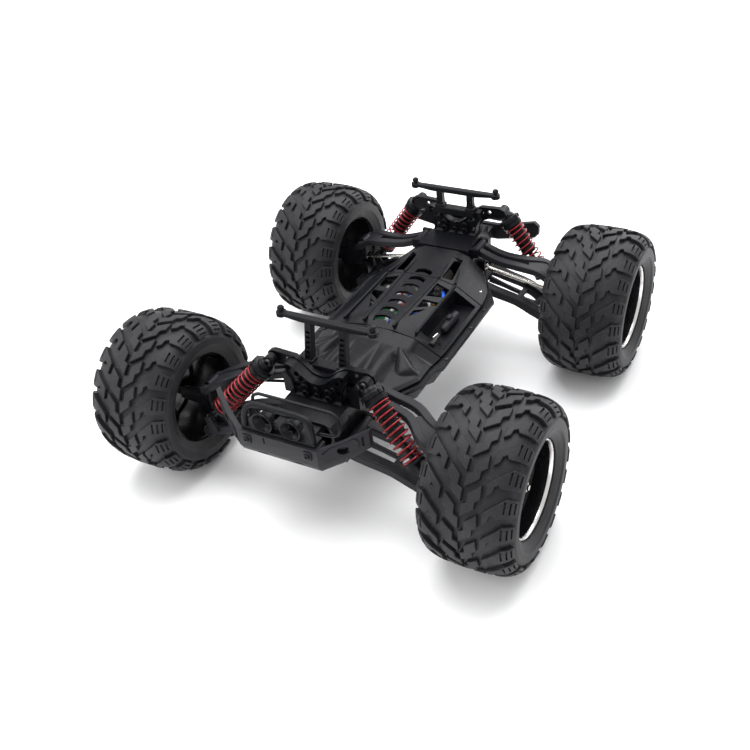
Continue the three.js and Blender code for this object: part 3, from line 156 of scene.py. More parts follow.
class Shader:
    """One material's node tree, with a Principled surface."""

    def __init__(self, name: str) -> None:
        """Start a material with nothing but its output and surface.

        Args:
            name: The material's name.
        """
        self.material = bpy.data.materials.new(name)
        self.material.use_nodes = True
        self.tree = self.material.node_tree
        self.tree.nodes.clear()
        self.surface = self.node("ShaderNodeBsdfPrincipled")
        output = self.node("ShaderNodeOutputMaterial")
        self.tree.links.new(self.surface.outputs[0], output.inputs[0])
        self.place = self.node("ShaderNodeTexCoord").outputs["Object"]

    def node(self, kind: str, settings: dict | None = None, sockets: dict | None = None) -> bpy.types.Node:
        """Add any node.

        Args:
            kind: The node's type.
            settings: Its properties, set before its sockets.
            sockets: Values or links of its inputs, by name or number.

        Returns:
            The new node.
        """
        made = self.tree.nodes.new(kind)
        for key, value in (settings or {}).items():
            setattr(made, key, value)
        self.plug(made, sockets or {})
        return made

    def plug(self, node: bpy.types.Node, sockets: dict) -> None:
        """Set or link a node's inputs.

        Args:
            node: The node.
            sockets: Values or links, by the inputs' names or numbers.
        """
        for key, value in sockets.items():
            if isinstance(value, Value):
                value = value.output
            if isinstance(value, bpy.types.NodeSocket):
                self.tree.links.new(value, node.inputs[key])
            else:
                node.inputs[key].default_value = value

    def stretched(self, scale: Point) -> bpy.types.NodeSocket:
        """Object coordinates, stretched along each axis."""
        made = self.node("ShaderNodeMapping", {}, {"Vector": self.place, "Scale": scale})
        return made.outputs[0]

    def noise(self, size: float, detail: float = 3.0, at: bpy.types.NodeSocket | None = None) -> Value:
        """Cloudy noise.

        Args:
            size: The width of its largest shapes, in metres.
            detail: How many finer layers it has.
            at: The coordinates it follows, or Object coordinates.

        Returns:
            The noise, from 0 to 1.
        """
        made = self.node(
            "ShaderNodeTexNoise", {}, {"Vector": at or self.place, "Scale": 1 / size, "Detail": detail}
        )
        return Value(self, made.outputs[0])

    def pits(self, size: float) -> Value:
        """Distance to the nearest of many scattered points, for a sparked or pitted skin."""
        made = self.node("ShaderNodeTexVoronoi", {}, {"Vector": self.place, "Scale": 1 / size})
        return Value(self, made.outputs["Distance"])

    def blend(self, share: Value, first: Point, second: Point) -> bpy.types.NodeSocket:
        """A colour between two others."""
        made = self.node("ShaderNodeMix", {"data_type": "RGBA"}, {0: share, 6: (*first, 1), 7: (*second, 1)})
        return made.outputs[2]

    def bump(self, height: Value, depth: float) -> bpy.types.NodeSocket:
        """A relief of that depth in metres."""
        made = self.node("ShaderNodeBump", {}, {"Height": height, "Distance": depth, "Strength": 1.0})
        return made.outputs[0]

    def paint(self, sockets: dict) -> bpy.types.Material:
        """Set the surface's own sockets and hand the material over."""
        self.plug(self.surface, sockets)
        return self.material


# Finishes


@dataclass(frozen=True)
class Rubber:
    """Dull tyre rubber with a dusty bloom and fine moulding grain."""

    name: str = "tyre_rubber"
    dark: Point = (0.0105, 0.0101, 0.0122)
    bloom: Point = (0.032, 0.0303, 0.0325)
    slot: str = "tyre"

    def make(self) -> bpy.types.Material:
        """Build the material.

        Returns:
            The material.
        """
        shader = Shader(self.name)
        cloud = shader.noise(0.03)
        speck = shader.noise(0.0016, 2)
        dust = cloud.above(0.56, 0.3) * 0.55 + speck.above(0.6, 0.2) * 0.25
        grain = shader.noise(0.0006, 2) * 0.6 + speck * 0.4
        return shader.paint({
            "Base Color": shader.blend(dust, self.dark, self.bloom),
            "Roughness": cloud * 0.16 + 0.46,
            "Specular IOR Level": 0.28,
            "Normal": shader.bump(grain, 0.00012),
        })


@dataclass(frozen=True)
class Moulded:
    """Moulded plastic with a sparked skin, faint flow marks and rubbed patches."""

    name: str = "moulded_plastic"
    dark: Point = (0.003, 0.0031, 0.0043)
    light: Point = (0.0075, 0.0078, 0.0102)
    rough: float = 0.34
    grain: float = 0.00006
    slot: str = "plastic"
    shine: float = 0.16

    def make(self) -> bpy.types.Material:
        """Build the material.

        Returns:
            The material.
        """
        shader = Shader(self.name)
        cloud = shader.noise(0.022)
        flow = shader.noise(0.006, 4, shader.stretched((1, 0.25, 1)))
        skin = shader.pits(0.0007)
        rubbed = shader.noise(0.004, 5).above(0.66, 0.12)
        tone = cloud * 0.5 + flow * 0.35
        return shader.paint({
            "Base Color": shader.blend(tone + rubbed * 0.3, self.dark, self.light),
            "Roughness": flow * 0.14 + (self.rough - 0.04) + rubbed * 0.1,
            "Specular IOR Level": self.shine,
            "Normal": shader.bump(skin + flow * 0.5, self.grain),
        })


@dataclass(frozen=True)
class Metal:
    """Bare metal with brushed streaks and small dull spots."""

    name: str
    colour: Point = (0.62, 0.61, 0.59)
    dull: Point = (0.3, 0.29, 0.28)
    rough: float = 0.24
    streak: Point = (1, 1, 6)
    slot: str = "steel"

    def make(self) -> bpy.types.Material:
        """Build the material.

        Returns:
            The material.
        """
        shader = Shader(self.name)
        brushed = shader.noise(0.0012, 3, shader.stretched(self.streak))
        spots = shader.noise(0.005, 4).above(0.62, 0.2)
        return shader.paint({
            "Base Color": shader.blend(spots * 0.6 + brushed * 0.2, self.colour, self.dull),
            "Metallic": 1.0,
            "Roughness": brushed * 0.2 + spots * 0.12 + (self.rough - 0.08),
            "Normal": shader.bump(brushed, 0.00002),
        })


@dataclass(frozen=True)
class Lacquer:
    """Coloured coat over metal or card, glossy with soft unevenness."""

    name: str
    deep: Point
    bright: Point
    rough: float = 0.3
    metal: float = 0.0
    ripple: float = 0.00005
    ripple_size: float = 0.004
    slot: str = "spring"

    def make(self) -> bpy.types.Material:
        """Build the material.

        Returns:
            The material.
        """
        shader = Shader(self.name)
        cloud = shader.noise(0.008)
        fleck = shader.noise(0.0008, 2)
        wave = shader.noise(self.ripple_size, 3)
        return shader.paint({
            "Base Color": shader.blend(cloud * 0.7 + fleck * 0.3, self.deep, self.bright),
            "Metallic": self.metal,
            "Roughness": fleck * 0.14 + (self.rough - 0.05),
            "Coat Weight": 0.2,
            "Coat Roughness": 0.15,
            "Normal": shader.bump(wave + fleck * 0.3, self.ripple),
        })


@dataclass(frozen=True)
class Board:
    """Solder mask over copper runs."""

    name: str = "circuit_board"
    mask: Point = (0.01, 0.11, 0.03)
    run: Point = (0.05, 0.28, 0.1)
    slot: str = "board"

    def make(self) -> bpy.types.Material:
        """Build the material.

        Returns:
            The material.
        """
        shader = Shader(self.name)
        runs = shader.noise(0.003, 1, shader.stretched((1, 0.22, 1))).above(0.52, 0.05)
        cloud = shader.noise(0.01)
        return shader.paint({
            "Base Color": shader.blend(runs * 0.6 + cloud * 0.2, self.mask, self.run),
            "Roughness": cloud * 0.2 + 0.22,
            "Normal": shader.bump(runs, 0.00006),
        })


@dataclass(frozen=True)
class PaleGround:
    """The pale studio floor."""

    name: str = "studio_floor"

    def make(self) -> bpy.types.Material:
        """Build the material.

        Returns:
            The material.
        """
        shader = Shader(self.name)
        cloud = shader.noise(0.5)
        return shader.paint({
            "Base Color": shader.blend(cloud, (0.93, 0.935, 0.945), (0.96, 0.96, 0.965)),
            "Roughness": cloud * 0.1 + 0.6,
            "Specular IOR Level": 0.15,
        })


class Finishes:
    """Every finish on the truck, each made once."""

    def __init__(self) -> None:
        """Make the materials and remember the slot each belongs to."""
        leads = {
            "white": ((0.6, 0.6, 0.6), (0.85, 0.85, 0.85)),
            "red": ((0.3, 0.01, 0.008), (0.55, 0.03, 0.02)),
            "blue": ((0.01, 0.07, 0.5), (0.03, 0.16, 0.8)),
            "black": ((0.008, 0.008, 0.009), (0.02, 0.02, 0.02)),
        }
        self.kinds = {
            "rubber": Rubber(),
            "plastic": Moulded(),
            "cover": Moulded(
                "cover_plastic", (0.0028, 0.0029, 0.0042), (0.0065, 0.0067, 0.0092), 0.27, 0.00003, shine=0.15
            ),
            "arm": Moulded(
                "arm_plastic", (0.0095, 0.0096, 0.0118), (0.0205, 0.0208, 0.0245), 0.38, 0.00005, "arm"
            ),
            "rim": Moulded(
                "rim_plastic", (0.0026, 0.0026, 0.0032), (0.0065, 0.0065, 0.0078), 0.2, 0.00002, "rim", 0.18
            ),
            "shock": Moulded(
                "shock_plastic", (0.0035, 0.0035, 0.0044), (0.009, 0.009, 0.0108), 0.3, 0.00003, "shock"
            ),
            "chrome": Metal("satin_chrome", (0.72, 0.7, 0.69), (0.5, 0.48, 0.47), 0.2, (6, 1, 1)),
            "steel": Metal("polished_steel", (0.68, 0.66, 0.62), (0.34, 0.31, 0.28), 0.2, (0.4, 4, 4)),
            "black_steel": Metal("blackened_steel", (0.05, 0.05, 0.053), (0.02, 0.02, 0.02), 0.3),
            "motor": Metal("motor_can", (0.6, 0.6, 0.6), (0.36, 0.36, 0.36), 0.3, (0.5, 4, 4), "gear"),
            "brass": Metal("pinion_brass", (0.72, 0.5, 0.2), (0.4, 0.27, 0.1), 0.28, (4, 1, 1), "gear"),
            "gear": Moulded("gear_nylon", (0.16, 0.155, 0.15), (0.3, 0.29, 0.28), 0.4, 0.00003, "gear"),
            "spring": Lacquer("spring_coat", (0.13, 0.001, 0.005), (0.36, 0.006, 0.014), 0.28, 0.5),
            "battery": Lacquer(
                "shrink_wrap", (0.008, 0.05, 0.42), (0.02, 0.13, 0.75), 0.22, 0.0, 0.0003, 0.009, "battery"
            ),
            **{
                f"{colour}_lead": Lacquer(f"{colour}_lead", deep, bright, 0.35, slot="board")
                for colour, (deep, bright) in leads.items()
            },
            "board": Board(),
        }
        self.materials = {key: kind.make() for key, kind in self.kinds.items()}

    def dress(self, piece: bpy.types.Object, key: str, body: str) -> bpy.types.Object:
        """Give a finished piece its material and the body it rides on.

        Args:
            piece: The piece.
            key: Which finish it gets.
            body: The body it moves with.

        Returns:
            The same piece.
        """
        piece.data.materials.clear()
        piece.data.materials.append(self.materials[key])
        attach(piece, body)
        return piece


# Modelling moves


class Bench:
    """Modelling moves on Blender's own operators."""

    @staticmethod
    def clear() -> None:
        """Leave edit mode and select nothing."""
        if bpy.context.object and bpy.context.object.mode != "OBJECT":
            bpy.ops.object.mode_set(mode="OBJECT")
        bpy.ops.object.select_all(action="DESELECT")

    @staticmethod
    def hold(*pieces: bpy.types.Object) -> None:
        """Select these objects only, the first one active.

        Args:
            *pieces: The objects.
        """
        Bench.clear()
        for piece in pieces:
            piece.select_set(True)
        bpy.context.view_layer.objects.active = pieces[0]

    @staticmethod
    def settle(name: str) -> bpy.types.Object:
        """Name the new object and move its place into its mesh."""
        bpy.ops.object.transform_apply(location=True, rotation=True, scale=True)
        return Bench.renamed(bpy.context.object, name)

    @staticmethod
    @contextmanager
    def edit(piece: bpy.types.Object, select: str = "SELECT") -> Iterator[None]:
        """Edit one object with all or nothing of it selected.

        Args:
            piece: The object.
            select: SELECT for all of its corners or DESELECT for no face.

        Returns:
            A context that leaves edit mode at its end.
        """
        Bench.hold(piece)
        bpy.ops.object.mode_set(mode="EDIT")
        bpy.ops.mesh.select_mode(type="VERT" if select == "SELECT" else "FACE")
        bpy.ops.mesh.select_all(action=select)
        yield
        bpy.ops.object.mode_set(mode="OBJECT")

    @staticmethod
    def pick(piece: bpy.types.Object, wanted: Callable[[bmesh.types.BMFace], bool]) -> None:
        """Select the faces that pass a test, in edit mode.

        Args:
            piece: The object being edited.
            wanted: Tells whether a face is selected.
        """
        mesh = bmesh.from_edit_mesh(piece.data)
        for face in mesh.faces:
            face.select_set(wanted(face))
        bmesh.update_edit_mesh(piece.data)

    @staticmethod
    def rod(
        name: str, start: Vector, end: Vector, radius: float, tip: float | None = None, sides: int = 24
    ) -> bpy.types.Object:
        """A round bar, tapered if its tip differs.

        Args:
            name: The piece's name.
            start: The centre of its first end.
            end: The centre of its second end.
            radius: Its radius at the start.
            tip: Its radius at the end, or the same.
            sides: How many sides it has.

        Returns:
            The bar.
        """
        along = end - start
        Bench.clear()
        bpy.ops.mesh.primitive_cone_add(
            vertices=sides, radius1=radius, radius2=radius if tip is None else tip, depth=along.length,
            location=(start + end) / 2, rotation=along.to_track_quat("Z", "Y").to_euler(),
        )
        return Bench.settle(name)

    @staticmethod
    def block(name: str, low: Vector, high: Vector) -> bpy.types.Object:
        """A box between two corners.

        Args:
            name: The piece's name.
            low: Its lowest corner.
            high: Its highest corner.

        Returns:
            The box.
        """
        Bench.clear()
        bpy.ops.mesh.primitive_cube_add(size=1, location=(low + high) / 2, scale=high - low)
        return Bench.settle(name)

    @staticmethod
    def plate(name: str, outline: Sequence[Vector], depth: Vector) -> bpy.types.Object:
        """A flat outline pushed out to a plate.

        Args:
            name: The piece's name.
            outline: Its corners in order.
            depth: The way and how far it is pushed.

        Returns:
            The plate.
        """
        Bench.clear()
        bpy.ops.mesh.primitive_circle_add(vertices=len(outline), radius=1, fill_type="NGON")
        piece = Bench.settle(name)
        for vertex, corner in zip(piece.data.vertices, outline):
            vertex.co = corner
        with Bench.edit(piece):
            bpy.ops.mesh.extrude_region_move(TRANSFORM_OT_translate={"value": depth})
            bpy.ops.mesh.select_all(action="SELECT")
            bpy.ops.mesh.normals_make_consistent(inside=False)
        return piece

    @staticmethod
    def spun(
        name: str,
        profile: Sequence[tuple[float, float]],
        start: Vector,
        along: Vector,
        sides: int = 32,
        angle: float = 35.0,
    ) -> bpy.types.Object:
        """A profile spun round an axis.

        Args:
            name: The piece's name.
            profile: Distance along the axis and radius of each corner, in millimetres, round the section.
            start: Where the axis begins.
            along: The axis' direction.
            sides: How many steps the spin has.
            angle: Edges sharper than this stay sharp, in degrees.

        Returns:
            The closed turned piece.
        """
        axis = along.normalized()
        out = axis.orthogonal().normalized()
        Bench.clear()
        bpy.ops.mesh.primitive_circle_add(vertices=len(profile), radius=1, fill_type="NOTHING")
        piece = Bench.settle(name)
        for vertex, (distance, radius) in zip(piece.data.vertices, profile):
            vertex.co = start + axis * (distance * MM) + out * (radius * MM)
        ends_on_axis = profile[0][1] < 1e-9 and profile[-1][1] < 1e-9
        with Bench.edit(piece):
            if ends_on_axis:
                bpy.ops.mesh.select_all(action="DESELECT")
                bpy.ops.mesh.select_mode(type="EDGE")
                mesh = bmesh.from_edit_mesh(piece.data)
                mesh.verts.ensure_lookup_table()
                first, last = mesh.verts[0], mesh.verts[len(profile) - 1]
                closing = next(e for e in first.link_edges if e.other_vert(first) == last)
                closing.select_set(True)
                bmesh.update_edit_mesh(piece.data)
                bpy.ops.mesh.delete(type="EDGE")
                bpy.ops.mesh.select_mode(type="VERT")
            bpy.ops.mesh.select_all(action="SELECT")
            bpy.ops.mesh.spin(steps=sides, angle=2 * math.pi, center=start, axis=axis)
            bpy.ops.mesh.select_all(action="SELECT")
            bpy.ops.mesh.remove_doubles(threshold=1e-6)
            bpy.ops.mesh.normals_make_consistent(inside=False)
        return Bench.smooth(piece, angle)

    @staticmethod
    def wire(name: str, path: Sequence[Vector], radius: float, sides: int = 10) -> bpy.types.Object:
        """A round wire along a path, with closed ends.

        Args:
            name: The piece's name.
            path: The points its centre passes through.
            radius: Its radius.
            sides: How many sides it has.

        Returns:
            The wire as a mesh.
        """
        Bench.clear()
        bpy.ops.curve.primitive_nurbs_path_add()
        piece = Bench.renamed(bpy.context.object, name)
        piece.data.splines.clear()
        spline = piece.data.splines.new("POLY")
        spline.points.add(len(path) - 1)
        for point, corner in zip(spline.points, path):
            point.co = (*corner, 1)
        piece.data.bevel_depth = radius
        piece.data.bevel_resolution = max(0, sides // 2 - 2)
        piece.data.use_fill_caps = True
        bpy.ops.object.convert(target="MESH")
        with Bench.edit(piece):
            bpy.ops.mesh.remove_doubles(threshold=1e-7)
            bpy.ops.mesh.normals_make_consistent(inside=False)
        return Bench.smooth(piece, 60)

    @staticmethod
    def limb(
        name: str, path: Sequence[Vector], across: Vector, sizes: Sequence[tuple[float, float]], edge: float
    ) -> bpy.types.Object:
        """A bar with rounded edges swept along a line.

        Args:
            name: The piece's name.
            path: The points its centre passes through.
            across: The direction of its width.
            sizes: Its width and height in millimetres at its start, middle and end.
            edge: The rounding of its edges.

        Returns:
            The bar.
        """
        last = len(path) - 1
        piece = Bench.block(name, Vector((0, -0.5, -0.5)), Vector((last, 0.5, 0.5)))
        with Bench.edit(piece):
            for i in range(1, last):
                bpy.ops.mesh.select_all(action="SELECT")
                bpy.ops.mesh.bisect(plane_co=(i, 0, 0), plane_no=(1, 0, 0))
        for vertex in piece.data.vertices:
            i = round(vertex.co.x)
            way = (path[min(i + 1, last)] - path[max(i - 1, 0)]).normalized()
            side = (across - way * across.dot(way)).normalized()
            share = 2 * i / last
            first, then = (sizes[0], sizes[1]) if share < 1 else (sizes[1], sizes[2])
            rest = share if share < 1 else share - 1
            width, height = (a + (b - a) * rest for a, b in zip(first, then))
            offset = side * vertex.co.y * width + way.cross(side) * vertex.co.z * height
            vertex.co = path[i] + offset * MM
        return Bench.soften(piece, edge)

    @staticmethod
    def apply(piece: bpy.types.Object, kind: str, settings: dict) -> bpy.types.Object:
        """Add a modifier with these settings and apply it.

        Args:
            piece: The piece.
            kind: The modifier's type.
            settings: Its properties.

        Returns:
            The same piece.
        """
        Bench.hold(piece)
        modifier = piece.modifiers.new(kind.lower(), kind)
        for key, value in settings.items():
            setattr(modifier, key, value)
        bpy.ops.object.modifier_apply(modifier=modifier.name)
        return piece

    @staticmethod
    def soften(
        piece: bpy.types.Object, width: float, segments: int = 2, angle: float = 42.0
    ) -> bpy.types.Object:
        """Round a piece's edges and shade it smooth.

        Args:
            piece: The piece.
            width: The width of the rounding.
            segments: Its steps.
            angle: Edges sharper than this are rounded, in degrees.

        Returns:
            The same piece.
        """
        Bench.smooth(piece, angle)
        return Bench.apply(piece, "BEVEL", {
            "width": width, "segments": segments, "limit_method": "ANGLE",
            "angle_limit": math.radians(angle), "harden_normals": True,
        })

    @staticmethod
    def smooth(piece: bpy.types.Object, angle: float = 40.0) -> bpy.types.Object:
        """Shade a piece smooth apart from its sharp edges.

        Args:
            piece: The piece.
            angle: Edges sharper than this stay sharp, in degrees.

        Returns:
            The same piece.
        """
        Bench.hold(piece)
        bpy.ops.object.shade_smooth_by_angle(angle=math.radians(angle))
        return piece

    @staticmethod
    def cut(piece: bpy.types.Object, *tools: bpy.types.Object) -> bpy.types.Object:
        """Take tools away from a piece and throw them away.

        Args:
            piece: The piece.
            *tools: What is taken away.

        Returns:
            The same piece.
        """
        for tool in tools:
            Bench.apply(piece, "BOOLEAN", {"operation": "DIFFERENCE", "object": tool, "solver": "EXACT"})
            bpy.data.objects.remove(tool)
        return piece

    @staticmethod
    def joined(name: str, pieces: Sequence[bpy.types.Object]) -> bpy.types.Object:
        """Put pieces together into one object.

        Args:
            name: The object's name.
            pieces: What is put together.

        Returns:
            The object.
        """
        Bench.hold(*pieces)
        bpy.ops.object.join()
        return Bench.settle(name)

    @staticmethod
    def copied(name: str, piece: bpy.types.Object, place: Matrix) -> bpy.types.Object:
        """A copy with its own mesh, moved to a place.

        Args:
            name: The copy's name.
            piece: What is copied.
            place: Where it goes, relative to the original.

        Returns:
            The copy.
        """
        made = bpy.data.objects.new(name, piece.data.copy())
        made.data.name = name
        bpy.context.scene.collection.objects.link(made)
        made.data.transform(place)
        if place.determinant() < 0:
            with Bench.edit(made):
                bpy.ops.mesh.normals_make_consistent(inside=False)
        return made

    @staticmethod
    def ranged(name: str, master: bpy.types.Object, places: Sequence[Matrix]) -> bpy.types.Object:
        """Copies of a master in one object; the master goes away.

        Args:
            name: The new object's name.
            master: What is copied.
            places: Where each copy goes.

        Returns:
            The joined copies.
        """
        copies = [Bench.copied(f"{name}_{i}", master, place) for i, place in enumerate(places)]
        bpy.data.objects.remove(master)
        return Bench.joined(name, copies) if len(copies) > 1 else Bench.renamed(copies[0], name)

    @staticmethod
    def renamed(piece: bpy.types.Object, name: str) -> bpy.types.Object:
        """Give a piece another name."""
        piece.name = piece.data.name = name
        return piece

    @staticmethod
    def cast(
        node: str,
        name: str,
        width: float,
        segments: int = 2,
        angle: float = 42.0,
        tools: Sequence[bpy.types.Object] = (),
    ) -> bpy.types.Object:
        """A copy of a CAD node with its loose corners merged and its edges rounded.

        Args:
            node: The CAD node.
            name: The new piece's name.
            width: The width of the rounding.
            segments: Its steps.
            angle: Edges sharper than this are rounded, in degrees.
            tools: What is cut away before the rounding.

        Returns:
            The new piece, which replaces the node.
        """
        made = Bench.copied(name, frame["nodes"][node], Matrix.Identity(4))
        with Bench.edit(made):
            bpy.ops.mesh.customdata_custom_splitnormals_clear()
            bpy.ops.mesh.remove_doubles(threshold=1e-6)
            bpy.ops.mesh.dissolve_limited(angle_limit=math.radians(1.0))
        Bench.cut(made, *tools)
        Bench.soften(made, width, segments, angle)
        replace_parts(made, node)
        return made


def toward(way: Vector, at: Vector, turn: float = 0.0) -> Matrix:
    """A place whose Z looks along a direction.

    Args:
        way: The direction.
        at: The place.
        turn: A turn about that direction, in degrees.

    Returns:
        The matrix that moves a piece modelled at the origin there.
    """
    face = way.to_track_quat("Z", "Y").to_matrix().to_4x4()
    return Matrix.Translation(at) @ face @ Matrix.Rotation(math.radians(turn), 4, "Z")


def flowing(corners: Sequence[Vector], steps: int) -> list[Vector]:
    """A smooth line through points.

    Args:
        corners: The points it passes through.
        steps: How many steps lie between two of them.

    Returns:
        The line's points, with both ends.
    """
    guides = [corners[0] * 2 - corners[1], *corners, corners[-1] * 2 - corners[-2]]
    line = []
    for a, b, c, d in zip(guides, guides[1:], guides[2:], guides[3:]):
        for i in range(steps):
            t = i / steps
            bend = (c - a) * t + (2 * a - 5 * b + 4 * c - d) * t**2 + (3 * b - a - 3 * c + d) * t**3
            line.append(b + bend * 0.5)
    return [*line, corners[-1]]


def both(half: Sequence[tuple[float, float]]) -> list[tuple[float, float]]:
    """The right half of an outline and its mirror image, in one run."""
    return [*half, *((-x, z) for x, z in reversed(half))]


# Hardware


@dataclass
class Screw:
    """A button-headed screw with a six-sided socket, modelled at the origin and looking up."""

    head_radius: float = 2.7 * MM
    head_height: float = 1.6 * MM
    socket_radius: float = 1.2 * MM

    def master(self) -> bpy.types.Object:
        """Model the screw once.

        Returns:
            The screw.
        """
        top = Vector((0, 0, self.head_height))
        piece = Bench.rod("screw", mm(0, 0, -0.4), top, self.head_radius, sides=18)
        with Bench.edit(piece, "DESELECT"):
            Bench.pick(piece, lambda f: f.normal.z > 0.9)
            bpy.ops.mesh.bevel(offset=self.head_height * 0.5, segments=2, affect="EDGES")
            Bench.pick(piece, lambda f: f.normal.z > 0.99 and f.calc_center_median().z > 0)
            bpy.ops.mesh.inset(thickness=0.35 * MM)
        tool = Bench.rod("socket", mm(0, 0, 0.5), mm(0, 0, 4), self.socket_radius, sides=6)
        Bench.cut(piece, tool)
        return Bench.smooth(piece)

    def set(
        self, name: str, places: Sequence[tuple[Vector, Vector]], finishes: Finishes, key: str, body: str
    ) -> bpy.types.Object:
        """Put screws at places.

        Args:
            name: The piece's name.
            places: Each screw's seat and the way it looks.
            finishes: The truck's finishes.
            key: The screws' finish.
            body: The body they ride on.

        Returns:
            All these screws as one piece.
        """
        spots = [toward(way, seat, 17.0 * i) for i, (seat, way) in enumerate(places)]
        return finishes.dress(Bench.ranged(name, self.master(), spots), key, body)


# Wheels


@dataclass
class Tyre:
    """A tyre whose two rows of lugs meet in a zigzag along its middle, with channels between them."""

    crown_radius: float = 55.0
    lug_height: float = 2.5
    chamfer: float = 0.3
    root: float = 0.5
    repeats: int = 20
    section: tuple[tuple[float, float], ...] = (
        (0, 55.0), (8, 54.9), (15, 54.45), (21, 53.4), (26, 51.2), (29.2, 47.8),
        (30.6, 43.6), (30.5, 39.5), (28.9, 35.2), (26.4, 32.0),
    )
    inner_lug: tuple[tuple[float, float], ...] = (
        (0.25, 0.3), (8.0, 6.5), (8.0, 10.9), (10.9, 13.3),
        (10.1, 20.8), (3.3, 14.8), (3.3, 9.2), (0.25, 7.8),
    )
    outer_lug: tuple[tuple[float, float], ...] = (
        (13.2, 15.6), (16.3, 18.2), (16.9, 22.0), (18.9, 23.4), (20.3, 21.4), (27.7, 22.2),
        (33.6, 22.8), (33.6, 33.4), (25.4, 34.0), (15.0, 25.0), (12.8, 22.6),
    )
    slots: tuple[float, ...] = (24.6, 28.0, 31.2)
    slot_ends: tuple[float, float] = (24.9, 32.1)
    slot_width: float = 0.9
    slot_depth: float = 1.3
    cell: float = 3.4

    @property
    def pitch(self) -> float:
        """The length of one repeat along the crown."""
        return 2 * math.pi * self.crown_radius / self.repeats

    def walk(self) -> list[tuple[float, float, float]]:
        """The section as many short steps.

        Returns:
            The way gone from the middle, the offset across the wheel and the radius, for each step.
        """
        line = flowing([Vector(p) for p in self.section], 8)
        steps, gone = [(0.0, line[0].x, line[0].y)], 0.0
        for last, at in zip(line, line[1:]):
            gone += (at - last).length
            steps.append((gone, at.x, at.y))
        return steps

    def skin(
        self, steps: Sequence[tuple[float, float, float]], way: float, sink: float
    ) -> tuple[float, float]:
        """A point of the section.

        Args:
            steps: The walked section.
            way: How far from the middle, along the section.
            sink: How deep under the tread's top.

        Returns:
            Its offset across the wheel and its radius.
        """
        reach = abs(way)
        i = next((i for i, step in enumerate(steps) if step[0] > reach), len(steps) - 1)
        (w0, x0, r0), (w1, x1, r1) = steps[i - 1], steps[i]
        t = (reach - w0) / (w1 - w0)
        dx, dr = x1 - x0, r1 - r0
        size = math.hypot(dx, dr)
        x = x0 + dx * t + dr / size * sink
        r = r0 + dr * t - dx / size * sink
        return math.copysign(x, way), r

    def lug(
        self, name: str, outline: Sequence[tuple[float, float]], slots: Sequence[float] = ()
    ) -> bpy.types.Object:
        """One flat lug, cut into cells so that it can be laid round the carcass.

        Args:
            name: The lug's name.
            outline: Its corners, across the tyre and along its crown.
            slots: Where its outer face is slotted.

        Returns:
            The lug, lying flat with its root below the ground.
        """
        shoulder = self.lug_height - self.chamfer
        corners = [Vector((x, y, -self.root)) for x, y in outline]
        piece = Bench.plate(name, corners, Vector((0, 0, shoulder + self.root)))
        low, high = self.slot_ends
        for x in slots:
            corner = Vector((x - self.slot_width / 2, low, shoulder - self.slot_depth))
            size = Vector((self.slot_width, high - low, self.lug_height))
            Bench.cut(piece, Bench.block("slot", corner, corner + size))
        with Bench.edit(piece, "DESELECT"):
            Bench.pick(piece, lambda f: f.normal.z > 0.9 and f.calc_center_median().z > shoulder - 0.1)
            bpy.ops.mesh.inset(thickness=self.chamfer, use_boundary=True)
            bpy.ops.transform.translate(value=(0, 0, self.chamfer))
            for axis in (0, 1):
                first = min(corner[axis] for corner in corners)
                last = max(corner[axis] for corner in corners)
                count = math.ceil((last - first) / self.cell)
                for i in range(1, count):
                    at, normal = [0.0, 0.0, 0.0], [0.0, 0.0, 0.0]
                    at[axis] = first + (last - first) * i / count
                    normal[axis] = 1.0
                    bpy.ops.mesh.select_all(action="SELECT")
                    bpy.ops.mesh.bisect(plane_co=at, plane_no=normal)
        return piece

    def master(self) -> bpy.types.Object:
        """Model one tyre at the origin, its axle along X.

        Returns:
            The tyre.
        """
        steps = self.walk()
        lug = Bench.joined("lug", [
            self.lug("inner_lug", self.inner_lug), self.lug("outer_lug", self.outer_lug, self.slots),
        ])
        rows = []
        for i in range(self.repeats):
            step = Matrix.Translation((0, i * self.pitch, 0))
            flip = Matrix.Translation((0, self.pitch / 2, 0)) @ step @ Matrix.Scale(-1, 4, (1, 0, 0))
            rows.append(Bench.copied(f"lug_{i}", lug, step))
            rows.append(Bench.copied(f"lug_back_{i}", lug, flip))
        bpy.data.objects.remove(lug)
        tread = Bench.joined("tread", rows)
        for vertex in tread.data.vertices:
            x, radius = self.skin(steps, vertex.co.x, self.lug_height - vertex.co.z)
            angle = -math.pi / 2 - vertex.co.y / self.crown_radius
            vertex.co = mm(x, radius * math.cos(angle), radius * math.sin(angle))
        with Bench.edit(tread):
            bpy.ops.mesh.normals_make_consistent(inside=False)
        Bench.smooth(tread, 30)
        return Bench.joined("tyre", [self.carcass(steps), tread])

    def carcass(self, steps: Sequence[tuple[float, float, float]]) -> bpy.types.Object:
        """The smooth body under the lugs, with its sidewalls, bead rings and hollow inside.

        Args:
            steps: The walked section.

        Returns:
            The body.
        """
        half = [self.skin(steps, way, self.lug_height) for way in (0, 6, 12, 18, 23, 27, 30.5, 33.2)]
        wall = [self.skin(steps, way, sink) for way, sink in (
            (34.6, 1.7), (36.0, 0.9), (38.0, 0.7), (40.4, 0.7), (41.0, 0.3), (42.2, 0.3), (42.8, 0.7),
            (44.6, 0.5), (46.2, 0.4),
        )]
        bead = [(25.9, 31.3), (24.4, 31.3), (24.4, 45.0)]
        right = half + wall + bead
        ring = right + [(-x, r) for x, r in reversed(right[1:])]
        return Bench.spun("carcass", ring, Vector(), ACROSS, 96, 50)


